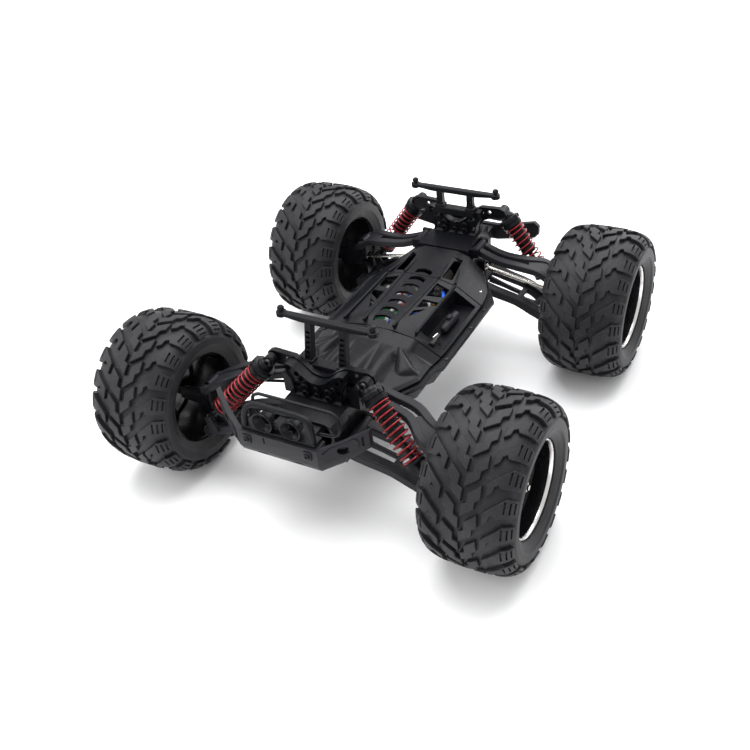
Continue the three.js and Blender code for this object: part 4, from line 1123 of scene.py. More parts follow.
@dataclass
class Rim:
    """A deep dished rim: barrel, six spokes, bolt ring, bright lip and wheel nut."""

    half_length: float = 25.0
    radius: float = 30.9
    wall: float = 1.8
    disc: float = 9.0
    spokes: int = 6

    def body(self) -> bpy.types.Object:
        """The dark part, its outboard side towards +X.

        Returns:
            The dark part.
        """
        half, outer, inner = self.half_length, self.radius, self.radius - self.wall
        barrel = [
            (-half, outer - 0.9), (-half + 0.5, outer), (half - 2.6, outer), (half - 2.2, inner + 0.3),
            (half - 4, inner), (14, inner - 0.5), (12.2, inner - 2.2), (9.2, inner - 2.4), (8.4, inner),
            (-half + 3, inner), (-half + 1, inner + 0.3),
        ]
        hub = [
            (5.5, 3.1), (5.5, 7.4), (8.6, 8.4), (11.2, 10.6), (12.6, 10.2), (13.0, 8.8), (14.6, 8.2),
            (15.5, 7.4), (15.5, 3.1),
        ]
        bolt = [(1.4, 0), (1.4, 0.9), (1.1, 1.3), (0, 1.3), (0, 0)]
        parts = [
            Bench.spun("barrel", barrel, Vector(), ACROSS, 72),
            Bench.spun("hub", hub, Vector(), ACROSS, 36),
        ]
        edge = [(9.6, 4.4), (18, 3.1), (26.0, 4.6), (28.6, 6.0)]
        outline = [(z, -y) for z, y in edge] + edge[::-1]
        spoke = Bench.plate("spoke", [mm(self.disc, y, z) for z, y in outline], mm(3.0, 0, 0))
        edge = [(0, 2.6), (6, 2.4), (12.5, 3.8)]
        outline = [(z, -y) for z, y in edge] + edge[::-1]
        pocket = [mm(11.2, y * 0.62, 12.5 + z) for z, y in outline]
        Bench.cut(spoke, Bench.plate("pocket", pocket, mm(3, 0, 0)))
        Bench.soften(spoke, 0.5 * MM)
        step = 2 * math.pi / self.spokes
        turns = [Matrix.Rotation(step * i, 4, "X") for i in range(self.spokes)]
        parts.append(Bench.ranged("spokes", spoke, turns))
        between = [Matrix.Rotation(step * (i + 0.5), 4, "X") for i in range(self.spokes)]
        parts.append(Bench.ranged("bolts", Bench.spun("bolt", bolt, mm(12.4, 0, 10.2), ACROSS, 10), between))
        for part in parts:
            Bench.smooth(part, 35)
        return Bench.joined("rim", parts)

    def lip(self) -> bpy.types.Object:
        """The bright ring at the outboard edge.

        Returns:
            The ring.
        """
        half, outer = self.half_length, self.radius
        ring = [
            (half - 2.4, outer - 0.2), (half - 0.5, outer), (half - 0.05, outer - 0.3), (half, outer - 0.8),
            (half - 0.4, outer - 1.2), (half - 1.2, outer - 1.5), (half - 2.0, outer - 1.7),
            (half - 2.4, outer - 1.4),
        ]
        return Bench.spun("lip", ring, Vector(), ACROSS, 96, 50)

    def nut(self) -> bpy.types.Object:
        """The wheel nut with its flange and the end of the axle.

        Returns:
            The nut.
        """
        flange = Bench.rod("flange", mm(15.4, 0, 0), mm(16.2, 0, 0), 4.3 * MM, sides=24)
        six = Bench.soften(Bench.rod("six", mm(16.2, 0, 0), mm(19.6, 0, 0), 3.6 * MM, sides=6), 0.35 * MM)
        end = Bench.soften(Bench.rod("end", mm(19.0, 0, 0), mm(21.2, 0, 0), 1.7 * MM, sides=16), 0.3 * MM)
        return Bench.smooth(Bench.joined("nut", [flange, six, end]), 35)


@dataclass
class Wheels:
    """The four wheels."""

    front_hub: Point = (120.0, -103.0, 55.0)
    rear_hub: Point = (116.0, 103.0, 55.0)

    def build(self, finishes: Finishes) -> None:
        """Model one wheel and place its copies.

        Args:
            finishes: The truck's finishes.
        """
        rim = Rim()
        masters = {
            "tyre": (Tyre().master(), "rubber"),
            "rim": (rim.body(), "rim"),
            "rim_lip": (rim.lip(), "chrome"),
            "wheel_nut": (rim.nut(), "steel"),
        }
        for end, hub in ((End.FRONT, self.front_hub), (End.REAR, self.rear_hub)):
            for side in Side:
                corner = f"{end.word}_{side.word}"
                place = Matrix.Translation(side.at(*hub))
                turn = Matrix.Rotation(math.pi if side is Side.RIGHT else 0.0, 4, "Z")
                for name, (master, key) in masters.items():
                    moved = place if name == "tyre" else place @ turn
                    piece = Bench.copied(f"dressed_{name}_{corner}", master, moved)
                    finishes.dress(piece, key, f"wheel_{corner}")
                    if name in ("tyre", "rim"):
                        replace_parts(piece, f"{name}_{corner}")
        for master, _ in masters.values():
            bpy.data.objects.remove(master)


# Shock absorbers


@dataclass
class Shock:
    """One coil-over shock: ribbed body with its grip collar, rod with its perch, and the wound spring."""

    end: End
    eye: Point
    foot: Point
    keep: float
    collar_end: float = 13.5
    body_end: float = 37.5
    bore_end: float = 8.5
    rod_end: float = 24.5
    perch_back: float = 12.5
    coil_radius: float = 6.75
    wire_radius: float = 0.6
    curls: int = 11
    flat: float = 0.7
    steps: int = 24
    grip: tuple[tuple[float, float], ...] = ((6.2, 7.2), (6.6, 8.0), (9.2, 8.0), (9.6, 7.2))
    grip_width: float = 2.4
    grips: int = 10

    def line(self, side: Side) -> tuple[Vector, Vector, float]:
        """The shock's top, direction and length."""
        top, foot = side.at(*self.eye), side.at(*self.foot)
        return top, (foot - top).normalized(), (foot - top).length / MM

    def body(self, name: str, top: Vector, along: Vector) -> bpy.types.Object:
        """The ribbed body with its cap and gripped collar.

        Args:
            name: The piece's name.
            top: The middle of the upper eye.
            along: The shock's direction.

        Returns:
            The body with its grip and eye.
        """
        ribs: list[tuple[float, float]] = []
        at = self.collar_end + 0.5
        while at < self.body_end - 5.5:
            ribs += [(at, 5.0), (at + 0.35, 5.5), (at + 1.35, 5.5), (at + 1.7, 5.0)]
            at += 2.3
        profile = [
            (2.0, 0), (2.0, 3.2), (3.4, 4.6), (4.6, 5.2), (6.0, 5.4), (6.0, 7.2), (6.6, 7.6), (9.4, 7.6),
            (9.6, 7.0), (10.2, 7.0), (10.4, 7.6), (12.9, 7.6), (13.5, 7.1), (13.5, 4.9), *ribs,
            (self.body_end - 4.6, 5.6), (self.body_end - 0.8, 5.6),
            (self.body_end, 4.8), (self.body_end, 2.3), (self.bore_end, 2.3), (self.bore_end, 0),
        ]
        core = Bench.spun("core", profile, top, along)
        out = along.orthogonal().normalized()
        outline = [top + along * d * MM + out * r * MM for d, r in self.grip]
        grip = Bench.plate("grip", outline, along.cross(out) * self.grip_width * MM)
        Bench.soften(grip, 0.25 * MM, 1)
        there, back = Matrix.Translation(top), Matrix.Translation(-top)
        turns = [
            there @ Matrix.Rotation(2 * math.pi * i / self.grips, 4, along) @ back for i in range(self.grips)
        ]
        grips = Bench.ranged("grips", grip, turns)
        eye = [(-3.0, 1.8), (-3.0, 3.5), (-2.6, 4.0), (2.6, 4.0), (3.0, 3.5), (3.0, 1.8)]
        return Bench.joined(name, [core, grips, Bench.spun("eye", eye, top, ALONG, 28)])

    def rod(self, name: str, top: Vector, along: Vector, length: float) -> bpy.types.Object:
        """The rod with the spring's perch and its foot.

        Args:
            name: The piece's name.
            top: The middle of the upper eye.
            along: The shock's direction.
            length: The distance between the eyes in millimetres.

        Returns:
            The rod with its perch and eye.
        """
        perch = length - self.perch_back
        profile = [
            (self.rod_end, 0), (self.rod_end, 1.9), (perch - 2.0, 1.9), (perch - 0.6, 3.2),
            (perch, 6.4), (perch, 7.2), (perch + 0.4, 7.4), (perch + 1.5, 7.4), (perch + 2.0, 6.9),
            (perch + 2.2, 3.6), (perch + 3.6, 2.4), (length - 2.5, 2.2), (length - 2.0, 0),
        ]
        core = Bench.spun("core", profile, top, along)
        eye = [(-2.6, 1.5), (-2.6, 3.0), (-2.2, 3.4), (2.2, 3.4), (2.6, 3.0), (2.6, 1.5)]
        foot = top + along * length * MM
        return Bench.joined(name, [core, Bench.spun("eye", eye, foot, ALONG, 24)])

    def spring(self, name: str, top: Vector, along: Vector, length: float) -> bpy.types.Object:
        """The wound wire between collar and perch, its first and last curl lying flat.

        Args:
            name: The piece's name.
            top: The middle of the upper eye.
            along: The shock's direction.
            length: The distance between the eyes in millimetres.

        Returns:
            The spring.
        """
        out = (ALONG - along * along.y).normalized()
        aside = along.cross(out)
        first = self.collar_end + self.wire_radius + 0.05
        last = length - self.perch_back - self.wire_radius - 0.05
        flat, path = self.flat, []
        for i in range(self.curls * self.steps + 1):
            turn = i / self.steps
            rise = unit((turn - flat) / (self.curls - 2 * flat))
            seat = (min(turn, flat) / flat + max(turn - self.curls + flat, 0.0) / flat) * 0.9
            distance = first + seat + (last - first - 1.8) * rise
            angle = 2 * math.pi * turn
            radial = out * math.cos(angle) + aside * math.sin(angle)
            path.append(top + along * distance * MM + radial * self.coil_radius * MM)
        return Bench.wire(name, path, self.wire_radius * MM)

    def build(self, finishes: Finishes) -> None:
        """Model both sides' shocks.

        Args:
            finishes: The truck's finishes.
        """
        screw = Screw(2.6 * MM, 1.5 * MM)
        for side in Side:
            corner = f"{self.end.word}_{side.word}"
            holder = f"shock_body_{corner}"
            top, along, length = self.line(side)
            body = self.body(f"dressed_{holder}", top, along)
            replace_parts(finishes.dress(body, "shock", holder), holder)
            rod = self.rod(f"dressed_shock_rod_{corner}", top, along, length)
            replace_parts(finishes.dress(rod, "shock", f"shock_rod_{corner}"), f"shock_rod_{corner}")
            spring = self.spring(f"dressed_spring_{corner}", top, along, length)
            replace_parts(finishes.dress(spring, "spring", holder), f"spring_{corner}")
            anchor = top + along * (self.collar_end + 0.3) * MM
            tuple(along)
            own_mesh(spring)
            way = Vector((0, self.end.value, 0))
            screw.set(f"shock_bolt_{corner}", [(top + way * 3.0 * MM, way)], finishes, "black_steel", holder)


# Suspension arms


@dataclass
class Arms:
    """The curved lower and upper arms of one end."""

    end: End
    axle: float
    lower_tip: tuple[float, float]
    upper_root: tuple[float, float]
    upper_tip: tuple[float, float]
    upper_set: float
    lug: float
    lower_root: tuple[float, float] = (25.6, 58.0)
    root_half: float = 17.0
    fork_gap: float = 5.6
    fork_half: float = 15.2
    leg: float = 8.6
    thickness: float = 6.6
    bow: float = 2.6
    upper_leg: tuple[float, float] = (5.4, 5.0)
    upper_half: float = 7.5
    lugs: tuple[float, float] = (8.0, 16.5)
    lug_wall: float = 2.4
    lug_height: float = 12.0
    web_steps: tuple[int, int] = (9, 15)

    def at(self, x: float, y: float, z: float) -> Vector:
        """A point beside this end's axle."""
        return mm(x, self.axle + y, z)

    def lower(self) -> bpy.types.Object:
        """The left lower arm: two bowed legs, a web, a fork and the shock's lug.

        Returns:
            The arm.
        """
        (rx, rz), (tx, tz) = self.lower_root, self.lower_tip
        span = math.hypot(tx - rx, tz - rz)
        along = Vector((tx - rx, 0, tz - rz)) / span
        lift = Vector((-along.z, 0, along.x))

        def on(u: float, v: float, w: float) -> Vector:
            """A place on the arm: along it, beside the axle and above its middle."""
            return self.at(rx, v, rz) + (along * u + lift * w) * MM

        parts = []
        for way in (-1, 1):
            run = [
                (1.0, 12.6, 0), (14, 12.6, 0.9), (32, 12.2, self.bow),
                (span - 12, 11.2, 0.9), (span + 2.6, 10.6, 0),
            ]
            path = flowing([on(u, v * way, w) for u, v, w in run], 4)
            slimmer = (self.leg - 1.2, self.thickness - 0.4)
            sizes = [(self.leg, self.thickness), slimmer, (9.2, self.thickness)]
            parts.append(Bench.limb("leg", path, ALONG, sizes, 1.1 * MM))
            start, end = on(span, way * self.fork_gap, 0), on(span, way * self.fork_half, 0)
            parts.append(Bench.soften(Bench.rod("eye", start, end, 4.2 * MM), 0.5 * MM))
        path = flowing([on(30, 0, 1.4), on(40, 0, 1.6), on(span - 10, 0, 0.3)], 3)
        web = Bench.limb("web", path, ALONG, [(21, 2.6), (20, 2.8), (19, 4.4)], 0.5 * MM)
        sizes = [(9, 20), (7, 20), (5, 20)]
        window = Bench.limb("window", [on(34, 0, 0), on(44, 0, 0)], ALONG, sizes, 2 * MM)
        parts.append(Bench.cut(web, window))
        path = [on(4, 0, 0), on(16, 0, 0.6), on(31, 0, 1.4)]
        rib = Bench.limb("rib", path, ALONG, [(3, 5), (2.4, 3.6), (3, 3)], 0.6 * MM)
        barrel = Bench.rod("barrel", on(0, -self.root_half, 0), on(0, self.root_half, 0), 4 * MM)
        parts += [rib, Bench.soften(barrel, 0.5 * MM)]
        half, tall = self.lug_wall / 2, lift * self.lug_height * MM
        for v in self.lugs:
            low, high = on(span - 12.2, self.lug * v - half, 1.0), on(span - 4.8, self.lug * v + half, 1.0)
            corners = [low, high.copy(), high + tall, low + tall]
            for corner in corners:
                corner.y = low.y
            corners[2] -= along * half * MM
            corners[3] += along * half * MM
            lug = Bench.plate("lug", corners, mm(0, self.lug_wall, 0))
            parts.append(Bench.soften(lug, 0.7 * MM, 3))
        return Bench.joined("lower_arm", parts)

    def upper(self) -> bpy.types.Object:
        """The left upper arm: two swept blades that meet in a fork.

        Returns:
            The arm.
        """
        (rx, rz), (tx, tz) = self.upper_root, self.upper_tip
        width, height = self.upper_leg
        parts = []
        middles = []
        for way in (-1, 1):
            root = self.upper_set + way * (self.upper_half - width / 2)
            tip = way * (self.fork_gap + width / 2)
            shares = [(0, 0, 0), (0.3, 0, 0.9), (0.62, 0.22, -1.8), (0.84, 0.86, -2.6), (1, 1, 0)]
            points = [
                self.at(rx + run * (tx - rx), root + sweep * (tip - root), rz + run * (tz - rz) - sag)
                for run, sweep, sag in shares
            ]
            path = flowing(points, 4)
            middles.append(path)
            sizes = [(width, height), (width + 0.8, height), (width, height - 0.6)]
            parts.append(Bench.limb("blade", path, ALONG, sizes, MM))
            start = self.at(tx, way * self.fork_gap, tz)
            eye = Bench.rod("eye", start, start + mm(0, way * 4.6, 0), 3.1 * MM)
            parts.append(Bench.soften(eye, 0.5 * MM))
        pairs = list(zip(*middles))[slice(*self.web_steps)]
        gap = [(a - b).length / MM for a, b in pairs]
        sizes = [(gap[0], 2.4), (gap[2], 2.8), (gap[-1], 3.4)]
        parts.append(Bench.limb("web", [(a + b) / 2 for a, b in pairs], ALONG, sizes, 0.5 * MM))
        root = self.at(rx, self.upper_set, rz)
        half = mm(0, self.upper_half, 0)
        barrel = Bench.rod("barrel", root - half, root + half, 3.4 * MM)
        parts.append(Bench.soften(barrel, 0.5 * MM))
        return Bench.joined("upper_arm", parts)

    def build(self, finishes: Finishes) -> None:
        """Model both sides' arms with their pins.

        Args:
            finishes: The truck's finishes.
        """
        for kind, arm in (("lower", self.lower()), ("upper", self.upper())):
            for side in Side:
                node = f"{kind}_arm_{self.end.word}_{side.word}"
                spot = Matrix.Scale(side.value, 4, (1, 0, 0))
                piece = Bench.copied(f"dressed_{node}", arm, spot)
                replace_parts(finishes.dress(piece, "arm", node), node)
            bpy.data.objects.remove(arm)
        x, z = self.lower_root
        screw = Screw(2.0 * MM, 1.2 * MM)
        for side in Side:
            node = f"lower_arm_{self.end.word}_{side.word}"
            seats = [
                (self.at(x * side.value, way * self.root_half, z), Vector((0, way, 0))) for way in (-1, 1)
            ]
            screw.set(f"{node}_pin", seats, finishes, "black_steel", node)


# Shock towers and body mounts


@dataclass
class Tower:
    """A pierced plate that carries the tops of two shocks, with bosses on its middle."""

    end: End
    eye: tuple[float, float]
    foot: float
    back: float
    front: float
    plate: float = 4.0
    box_half: float = 17.2
    radius: float = 5.0
    foot_half: float = 19.0
    drop: float = 11.0
    bosses: tuple[tuple[float, float, float], ...] = (
        (8.4, 2.9, 2.5), (8.4, 7.9, 2.5), (12.6, 11.6, 1.6), (0.0, 3.6, 2.0), (0.0, 8.4, 1.6),
    )
    bolted: tuple[float, float] = (7.9, 8.4)
    holes: tuple[tuple[float, float, float], ...] = (
        (25.6, 0.4, 1.4), (19.4, -0.6, 1.5), (14.6, -4.2, 1.9), (14.9, -12.0, 1.9),
    )

    def outline(self) -> list[tuple[float, float]]:
        """The plate's outline, x and z, with the dip in its middle.

        Returns:
            Its corners in order.
        """
        x, z = self.eye
        r = self.radius
        half = [
            (17.4, self.foot), (17.4, z - self.drop - 4.4), (18.4, z - self.drop + 0.8),
            (self.foot_half + 2.2, z - self.drop + 4.6), (x - 8.6, z - 4.6), (x - 0.2, z - r),
            (x + 0.7 * r, z - 0.7 * r), (x + r, z), (x + 0.7 * r, z + 0.7 * r), (x, z + r),
            (x - 8.0, z + 4.6),
            (18.5, z + 4.2), (14.6, z + 2.0), (6.4, z - 4.6), (3.0, z - 6.0),
        ]
        return both(half)

    def build(self, finishes: Finishes) -> None:
        """Model the tower with its rim, bosses and bolts.

        Args:
            finishes: The truck's finishes.
        """
        depth = mm(0, self.plate, 0)
        plate = Bench.plate("plate", [mm(x, self.back, z) for x, z in self.outline()], depth)
        with Bench.edit(plate, "DESELECT"):
            Bench.pick(plate, lambda f: abs(f.normal.y) > 0.9)
            bpy.ops.mesh.inset(thickness=1.3 * MM)
            bpy.ops.transform.shrink_fatten(value=-0.9 * MM)
        half, top = self.box_half, self.eye[1]
        skin = [
            (half, self.foot), (half, top - 14), (half + 1.2, top - 8), (half + 3.8, top - 4),
            (half + 3.8, top + 3.0), (half + 0.6, top + 3.0), (14.0, top + 0.9),
            (6.2, top - 5.8), (3.0, top - 7.2),
        ]
        depth = mm(0, self.back - self.front + 0.4, 0)
        box = Bench.plate("box", [mm(x, self.front, z) for x, z in both(skin)], depth)
        with Bench.edit(box, "DESELECT"):
            Bench.pick(box, lambda f: f.normal.y < -0.9)
            bpy.ops.mesh.inset(thickness=1.2 * MM)
            bpy.ops.transform.translate(value=mm(0, 1.6, 0))
        start, end = self.front - 9, self.back + 9
        for piece in (plate, box):
            tools = [
                Bench.rod("hole", mm(s * x, start, top + z), mm(s * x, end, top + z), r * MM, sides=20)
                for x, z, r in self.holes for s in (-1, 1)
            ]
            Bench.cut(piece, *tools)
            Bench.soften(piece, 0.35 * MM, 2, 32)
        bosses, seats = [], []
        for x, z, r in self.bosses:
            for s in (-1, 1) if x else (1,):
                start = mm(s * x, self.front + 2.0, self.foot + z)
                ring = [(0, 0), (0, r), (2.4, r), (2.8, r - 0.4), (2.8, r - 0.9), (1.4, r - 1.1), (1.4, 0)]
                bosses.append(Bench.spun("boss", ring, start, AHEAD, 24))
                if z in self.bolted:
                    seats.append((start + AHEAD * 1.3 * MM, AHEAD))
        name = f"{self.end.word}_tower"
        tower = Bench.joined(f"dressed_{name}", [plate, box, *bosses])
        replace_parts(finishes.dress(tower, "plastic", "chassis"), name)
        Screw(1.5 * MM, 0.9 * MM, 0.6 * MM).set(f"{name}_bolts", seats, finishes, "black_steel", "chassis")


@dataclass
class BodyMount:
    """The gate that a body shell rests on: a faceted bar on two notched posts."""

    end: End
    foot: tuple[float, float]
    bar_y: float
    top: float = 125.5
    bar: float = 4.0
    base: tuple[float, float, float] = (16.0, 3.75, 5.5)
    collar: tuple[float, float, float] = (3.7, 3.6, 2.8)
    bar_half: float = 32.8
    span: float = 12.4
    post: float = 5.0
    notch: tuple[float, float] = (3.0, 1.5)
    pitch: float = 3.3

    def build(self, finishes: Finishes) -> None:
        """Model the gate.

        Args:
            finishes: The truck's finishes.
        """
        y, z = self.foot
        low = self.top - self.bar
        half, deep, tall = self.base
        base = Bench.block("base", mm(-half, y - deep, z), mm(half, y + deep, z + tall))
        parts = [Bench.soften(base, 0.6 * MM)]
        for side in Side:
            x = side.value * self.span
            path = [mm(x, y + (self.bar_y - y) * t, z + 5 + (low + 0.5 - z - 5) * t) for t in (0, 0.5, 1)]
            sizes = [(self.post + 0.8, self.post), (self.post, self.post), (self.post, self.post)]
            post = Bench.limb("post", path, ACROSS, sizes, 0.5 * MM)
            half, high = self.notch[0] / 2, self.notch[1] / 2
            tools = []
            for i in range(int((low - z - 9) / self.pitch)):
                height = z + 8.6 + i * self.pitch
                start, end = mm(x - half, y - 9, height - high), mm(x + half, self.bar_y + 9, height + high)
                tools.append(Bench.block("notch", start, end))
            Bench.cut(post, Bench.joined("notches", tools))
            half, deep, tall = self.collar
            start, end = mm(x - half, y - deep, z + 4.6), mm(x + half, y + deep, z + 4.6 + tall)
            parts += [post, Bench.soften(Bench.block("collar", start, end), 0.8 * MM)]
        right = [(self.span + 6, 1), (self.bar_half - 5, 0.74), (self.bar_half, 0.62)]
        ends = [(-x, share) for x, share in reversed(right)] + right
        start, end = mm(-self.bar_half, self.bar_y - 2.5, low), mm(self.bar_half, self.bar_y + 2.5, self.top)
        bar = Bench.block("bar", start, end)
        with Bench.edit(bar):
            for x, _ in ends[1:-1]:
                bpy.ops.mesh.select_all(action="SELECT")
                bpy.ops.mesh.bisect(plane_co=mm(x, 0, 0), plane_no=(1, 0, 0))
        shares = {round(x, 3): share for x, share in ends}
        for vertex in bar.data.vertices:
            share = shares[round(vertex.co.x / MM, 3)]
            if vertex.co.z < self.top * MM - 0.001:
                vertex.co.z = (self.top - self.bar * share) * MM
        parts.append(Bench.soften(bar, 0.9 * MM, 2))
        pin = [
            (-3.6, 0), (-3.6, 2.6), (-3.0, 3.4), (-0.2, 3.4), (0.1, 2.9), (0.1, 1.7), (0.9, 1.5),
            (1.3, 1.5), (1.7, 2.3), (2.5, 2.4), (3.6, 1.8), (4.1, 0.9), (4.1, 0),
        ]
        for side in Side:
            start = side.at(self.bar_half, self.bar_y, self.top)
            parts.append(Bench.spun("pin", pin, start, UP, 24, 40))
        node = f"{self.end.word}_body_mount"
        piece = Bench.joined(f"dressed_{node}", parts)
        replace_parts(finishes.dress(piece, "plastic", "chassis"), node)


# Bumper and lamps


@dataclass
class LightPod:
    """Two deep lamp cups under a bent tube, on one base plate."""

    face: float = -148.0
    depth: float = 9.0
    lamp_span: float = 9.9
    lamp_z: float = 92.2
    radius: float = 7.3
    hoop_half: float = 24.0
    floor: float = 84.3
    rise: float = 16.4
    lean: float = 3.0
    tube: float = 2.1

    def cup(self, name: str, x: float) -> bpy.types.Object:
        """One lamp: a rolled rim, a stepped cone inside and a tapered back.

        Args:
            name: The piece's name.
            x: How far it stands from the truck's middle.

        Returns:
            The cup.
        """
        wide, deep = self.radius, self.depth
        profile = [
            (deep, 0), (deep, 3.6), (deep - 1.0, 4.6),
            (3.0, wide - 1.6), (1.9, wide - 1.1), (1.2, wide - 0.2),
            (0.5, wide), (0.0, wide - 0.1), (-0.1, wide - 0.5), (0.1, wide - 1.0), (0.9, wide - 1.3),
            (1.4, wide - 1.9), (4.2, wide - 3.6), (4.4, wide - 4.0), (6.6, 2.2), (6.8, 1.5), (7.0, 0),
        ]
        return Bench.spun(name, profile, mm(x, self.face, self.lamp_z), ALONG, 48, 30)

    def hoop(self) -> bpy.types.Object:
        """The bent tube.

        Returns:
            The tube.
        """
        half = [
            (0, 1, 1), (0.4, 1, 1), (0.7, 0.96, 0.985), (0.86, 0.75, 0.9), (0.95, 0.4, 0.7), (0.99, 0.1, 0.4),
            (1, 0, 0),
        ]
        ring = [(-x, y, z) for x, y, z in reversed(half[1:])] + half
        back, low = self.face + self.tube, self.floor + 0.5
        corners = [
            Vector((x * self.hoop_half, back + y * self.lean, low + z * self.rise)) for x, y, z in ring
        ]
        path = [p * MM for p in flowing(corners, 5)]
        return Bench.wire("hoop", path, self.tube * MM, 16)

    def build(self, finishes: Finishes) -> None:
        """Model the pod.

        Args:
            finishes: The truck's finishes.
        """
        edge, face, floor, span = self.hoop_half + self.tube, self.face, self.floor, self.lamp_span
        base = Bench.block("base", mm(-edge, face, floor), mm(edge, face + self.depth, floor + 2))
        Bench.soften(base, 0.5 * MM)
        web = Bench.block("web", mm(-span, face + 3, floor + 1), mm(span, face + 6, self.lamp_z - 2))
        Bench.soften(web, 0.4 * MM)
        cups = [self.cup(f"cup_{side.word}", side.value * span) for side in Side]
        pod = Bench.joined("dressed_light_pod", [base, web, *cups, self.hoop()])
        finishes.dress(pod, "plastic", "chassis")
        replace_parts(pod, "light_pod")


@dataclass
class FrontBumper:
    """The swept bumper with its bolt bosses, framed wings and slots."""

    face: float = -150.0
    face_half: float = 28.0
    tip: tuple[float, float, float] = (54.0, -132.0, 82.0)
    low: float = 72.0
    height: float = 12.0
    boss_span: float = 21.5
    boss_z: float = 79.0
    slot_span: float = 13.0
    slot: tuple[float, float, float] = (3.2, 67.9, 69.7)
    wing_slot: tuple[tuple[float, float], ...] = ((0.86, 0.25), (0.9, 0.8))
    mark: tuple[float, float, float, float] = (-9.6, -8.6, 78.6, 83.0)
    wing_frame: tuple[tuple[float, float], ...] = (
        (0.1, 0.16), (0.1, 0.72), (0.26, 0.92), (0.72, 0.92),
        (0.8, 0.7), (0.8, 0.3), (0.68, 0.1), (0.22, 0.06),
    )
    wing_hole: tuple[float, float] = (0.5, 0.5)
    wing_hole_radius: float = 3.7
    wing_hole_share: float = 0.76
    band_y: float = -127.0
    band_radius: float = 1.1
    band: tuple[tuple[float, float], ...] = (
        (15.0, 75.6), (25.0, 77.0), (29.4, 80.0), (31.0, 86.0), (30.4, 91.6), (26.6, 94.6), (20.0, 95.2),
    )

    def on_wing(self, side: Side, run: float, rise: float, out: float) -> Vector:
        """A place on a wing.

        Args:
            side: Which wing.
            run: Share of its length, from the face to the tip.
            rise: Share of its height.
            out: How far in front of it.

        Returns:
            The place.
        """
        x = self.face_half + run * (self.tip[0] - self.face_half)
        y = self.face + run * (self.tip[1] - self.face)
        z = self.low + run * (self.tip[2] - self.low) + rise * self.height
        ahead = Vector((self.tip[1] - self.face, self.face_half - self.tip[0], 0)).normalized()
        return side.at(x + ahead.x * out, y + ahead.y * out, z)

    def wing(self, side: Side) -> bpy.types.Object:
        """The raised frame round one wing's hole.

        Args:
            side: Which wing.

        Returns:
            The frame.
        """
        depth = self.on_wing(side, 0, 0, 1.1) - self.on_wing(side, 0, 0, -0.3)
        outline = [self.on_wing(side, run, rise, -0.3) for run, rise in self.wing_frame]
        if side is Side.RIGHT:
            outline.reverse()
        frame_piece = Bench.plate(f"wing_{side.word}", outline, depth)
        Bench.cut(frame_piece, self.hole(side))
        return Bench.soften(frame_piece, 0.35 * MM)

    def hole(self, side: Side) -> bpy.types.Object:
        """The oval tool that goes through one wing.

        Args:
            side: Which wing.

        Returns:
            The tool.
        """
        middle = self.on_wing(side, *self.wing_hole, 0)
        way = self.on_wing(side, *self.wing_hole, 6.0) - middle
        tool = Bench.rod("hole", middle - way, middle + way, self.wing_hole_radius * MM, sides=28)
        for vertex in tool.data.vertices:
            vertex.co.z = middle.z + (vertex.co.z - middle.z) * self.wing_hole_share
        return tool

    def build(self, finishes: Finishes) -> None:
        """Cut the bumper's slots, add its raised parts and put a dark back in each wing hole as painted
        shade.

        Args:
            finishes: The truck's finishes.
        """
        tools = []
        face = self.face
        for side in Side:
            x = side.value * self.slot_span
            half, z0, z1 = self.slot
            tools.append(Bench.block("slot", mm(x - half, face - 1, z0), mm(x + half, face + 3.4, z1)))
            ends = [self.on_wing(side, *end, 0) for end in self.wing_slot]
            low = Vector(map(min, *ends)) - mm(0, 1.6, 0)
            high = Vector(map(max, *ends)) + mm(0, 0.4, 0)
            tools += [Bench.block("wing_slot", low, high), self.hole(side)]
        x0, x1, z0, z1 = self.mark
        tools.append(Bench.block("mark", mm(x0, face - 1, z0), mm(x1, face + 0.8, z1)))
        beam = Bench.cast("front_bumper", "dressed_front_bumper", 0.9 * MM, 3, 30.0, tools)
        finishes.dress(beam, "arm", "chassis")
        bosses, shade_backs = [], []
        for side in Side:
            x, z = side.value * self.boss_span, self.boss_z
            pad = Bench.block("boss", mm(x - 2.7, face - 0.9, z - 3), mm(x + 2.7, face + 0.5, z + 3))
            Bench.soften(pad, 0.45 * MM)
            bosses += [pad, self.wing(side)]
            # A back inside each wing hole, in the darkest plastic: painted shade for the hole's dark inside.
            middle = self.on_wing(side, *self.wing_hole, 0)
            way = (self.on_wing(side, *self.wing_hole, 1.0) - middle).normalized() * MM
            radius = self.wing_hole_radius
            start, end = middle - way * 3.4, middle - way * 1.6
            plug = Bench.rod("plug", start, end, radius * MM, (radius - 0.4) * MM, 28)
            shade_backs.append(Bench.smooth(plug, 40))
        finishes.dress(Bench.joined("bumper_trim", bosses), "arm", "chassis")
        loop = [mm(-x, self.band_y, z) for x, z in self.band]
        loop += [mm(x, self.band_y, z) for x, z in self.band[::-1]]
        finishes.dress(Bench.wire("nose_band", flowing(loop, 3), self.band_radius * MM, 12), "arm", "chassis")
        # The wing holes' backs take the darkest finish as painted shade.
        finishes.dress(Bench.joined("wing_plugs", shade_backs), "rim", "chassis")
        seats = [(side.at(self.boss_span, face - 0.8, self.boss_z), AHEAD) for side in Side]
        Screw(1.9 * MM, 1.3 * MM, 0.9 * MM).set("bumper_bolts", seats, finishes, "shock", "chassis")


# Cover over the tub


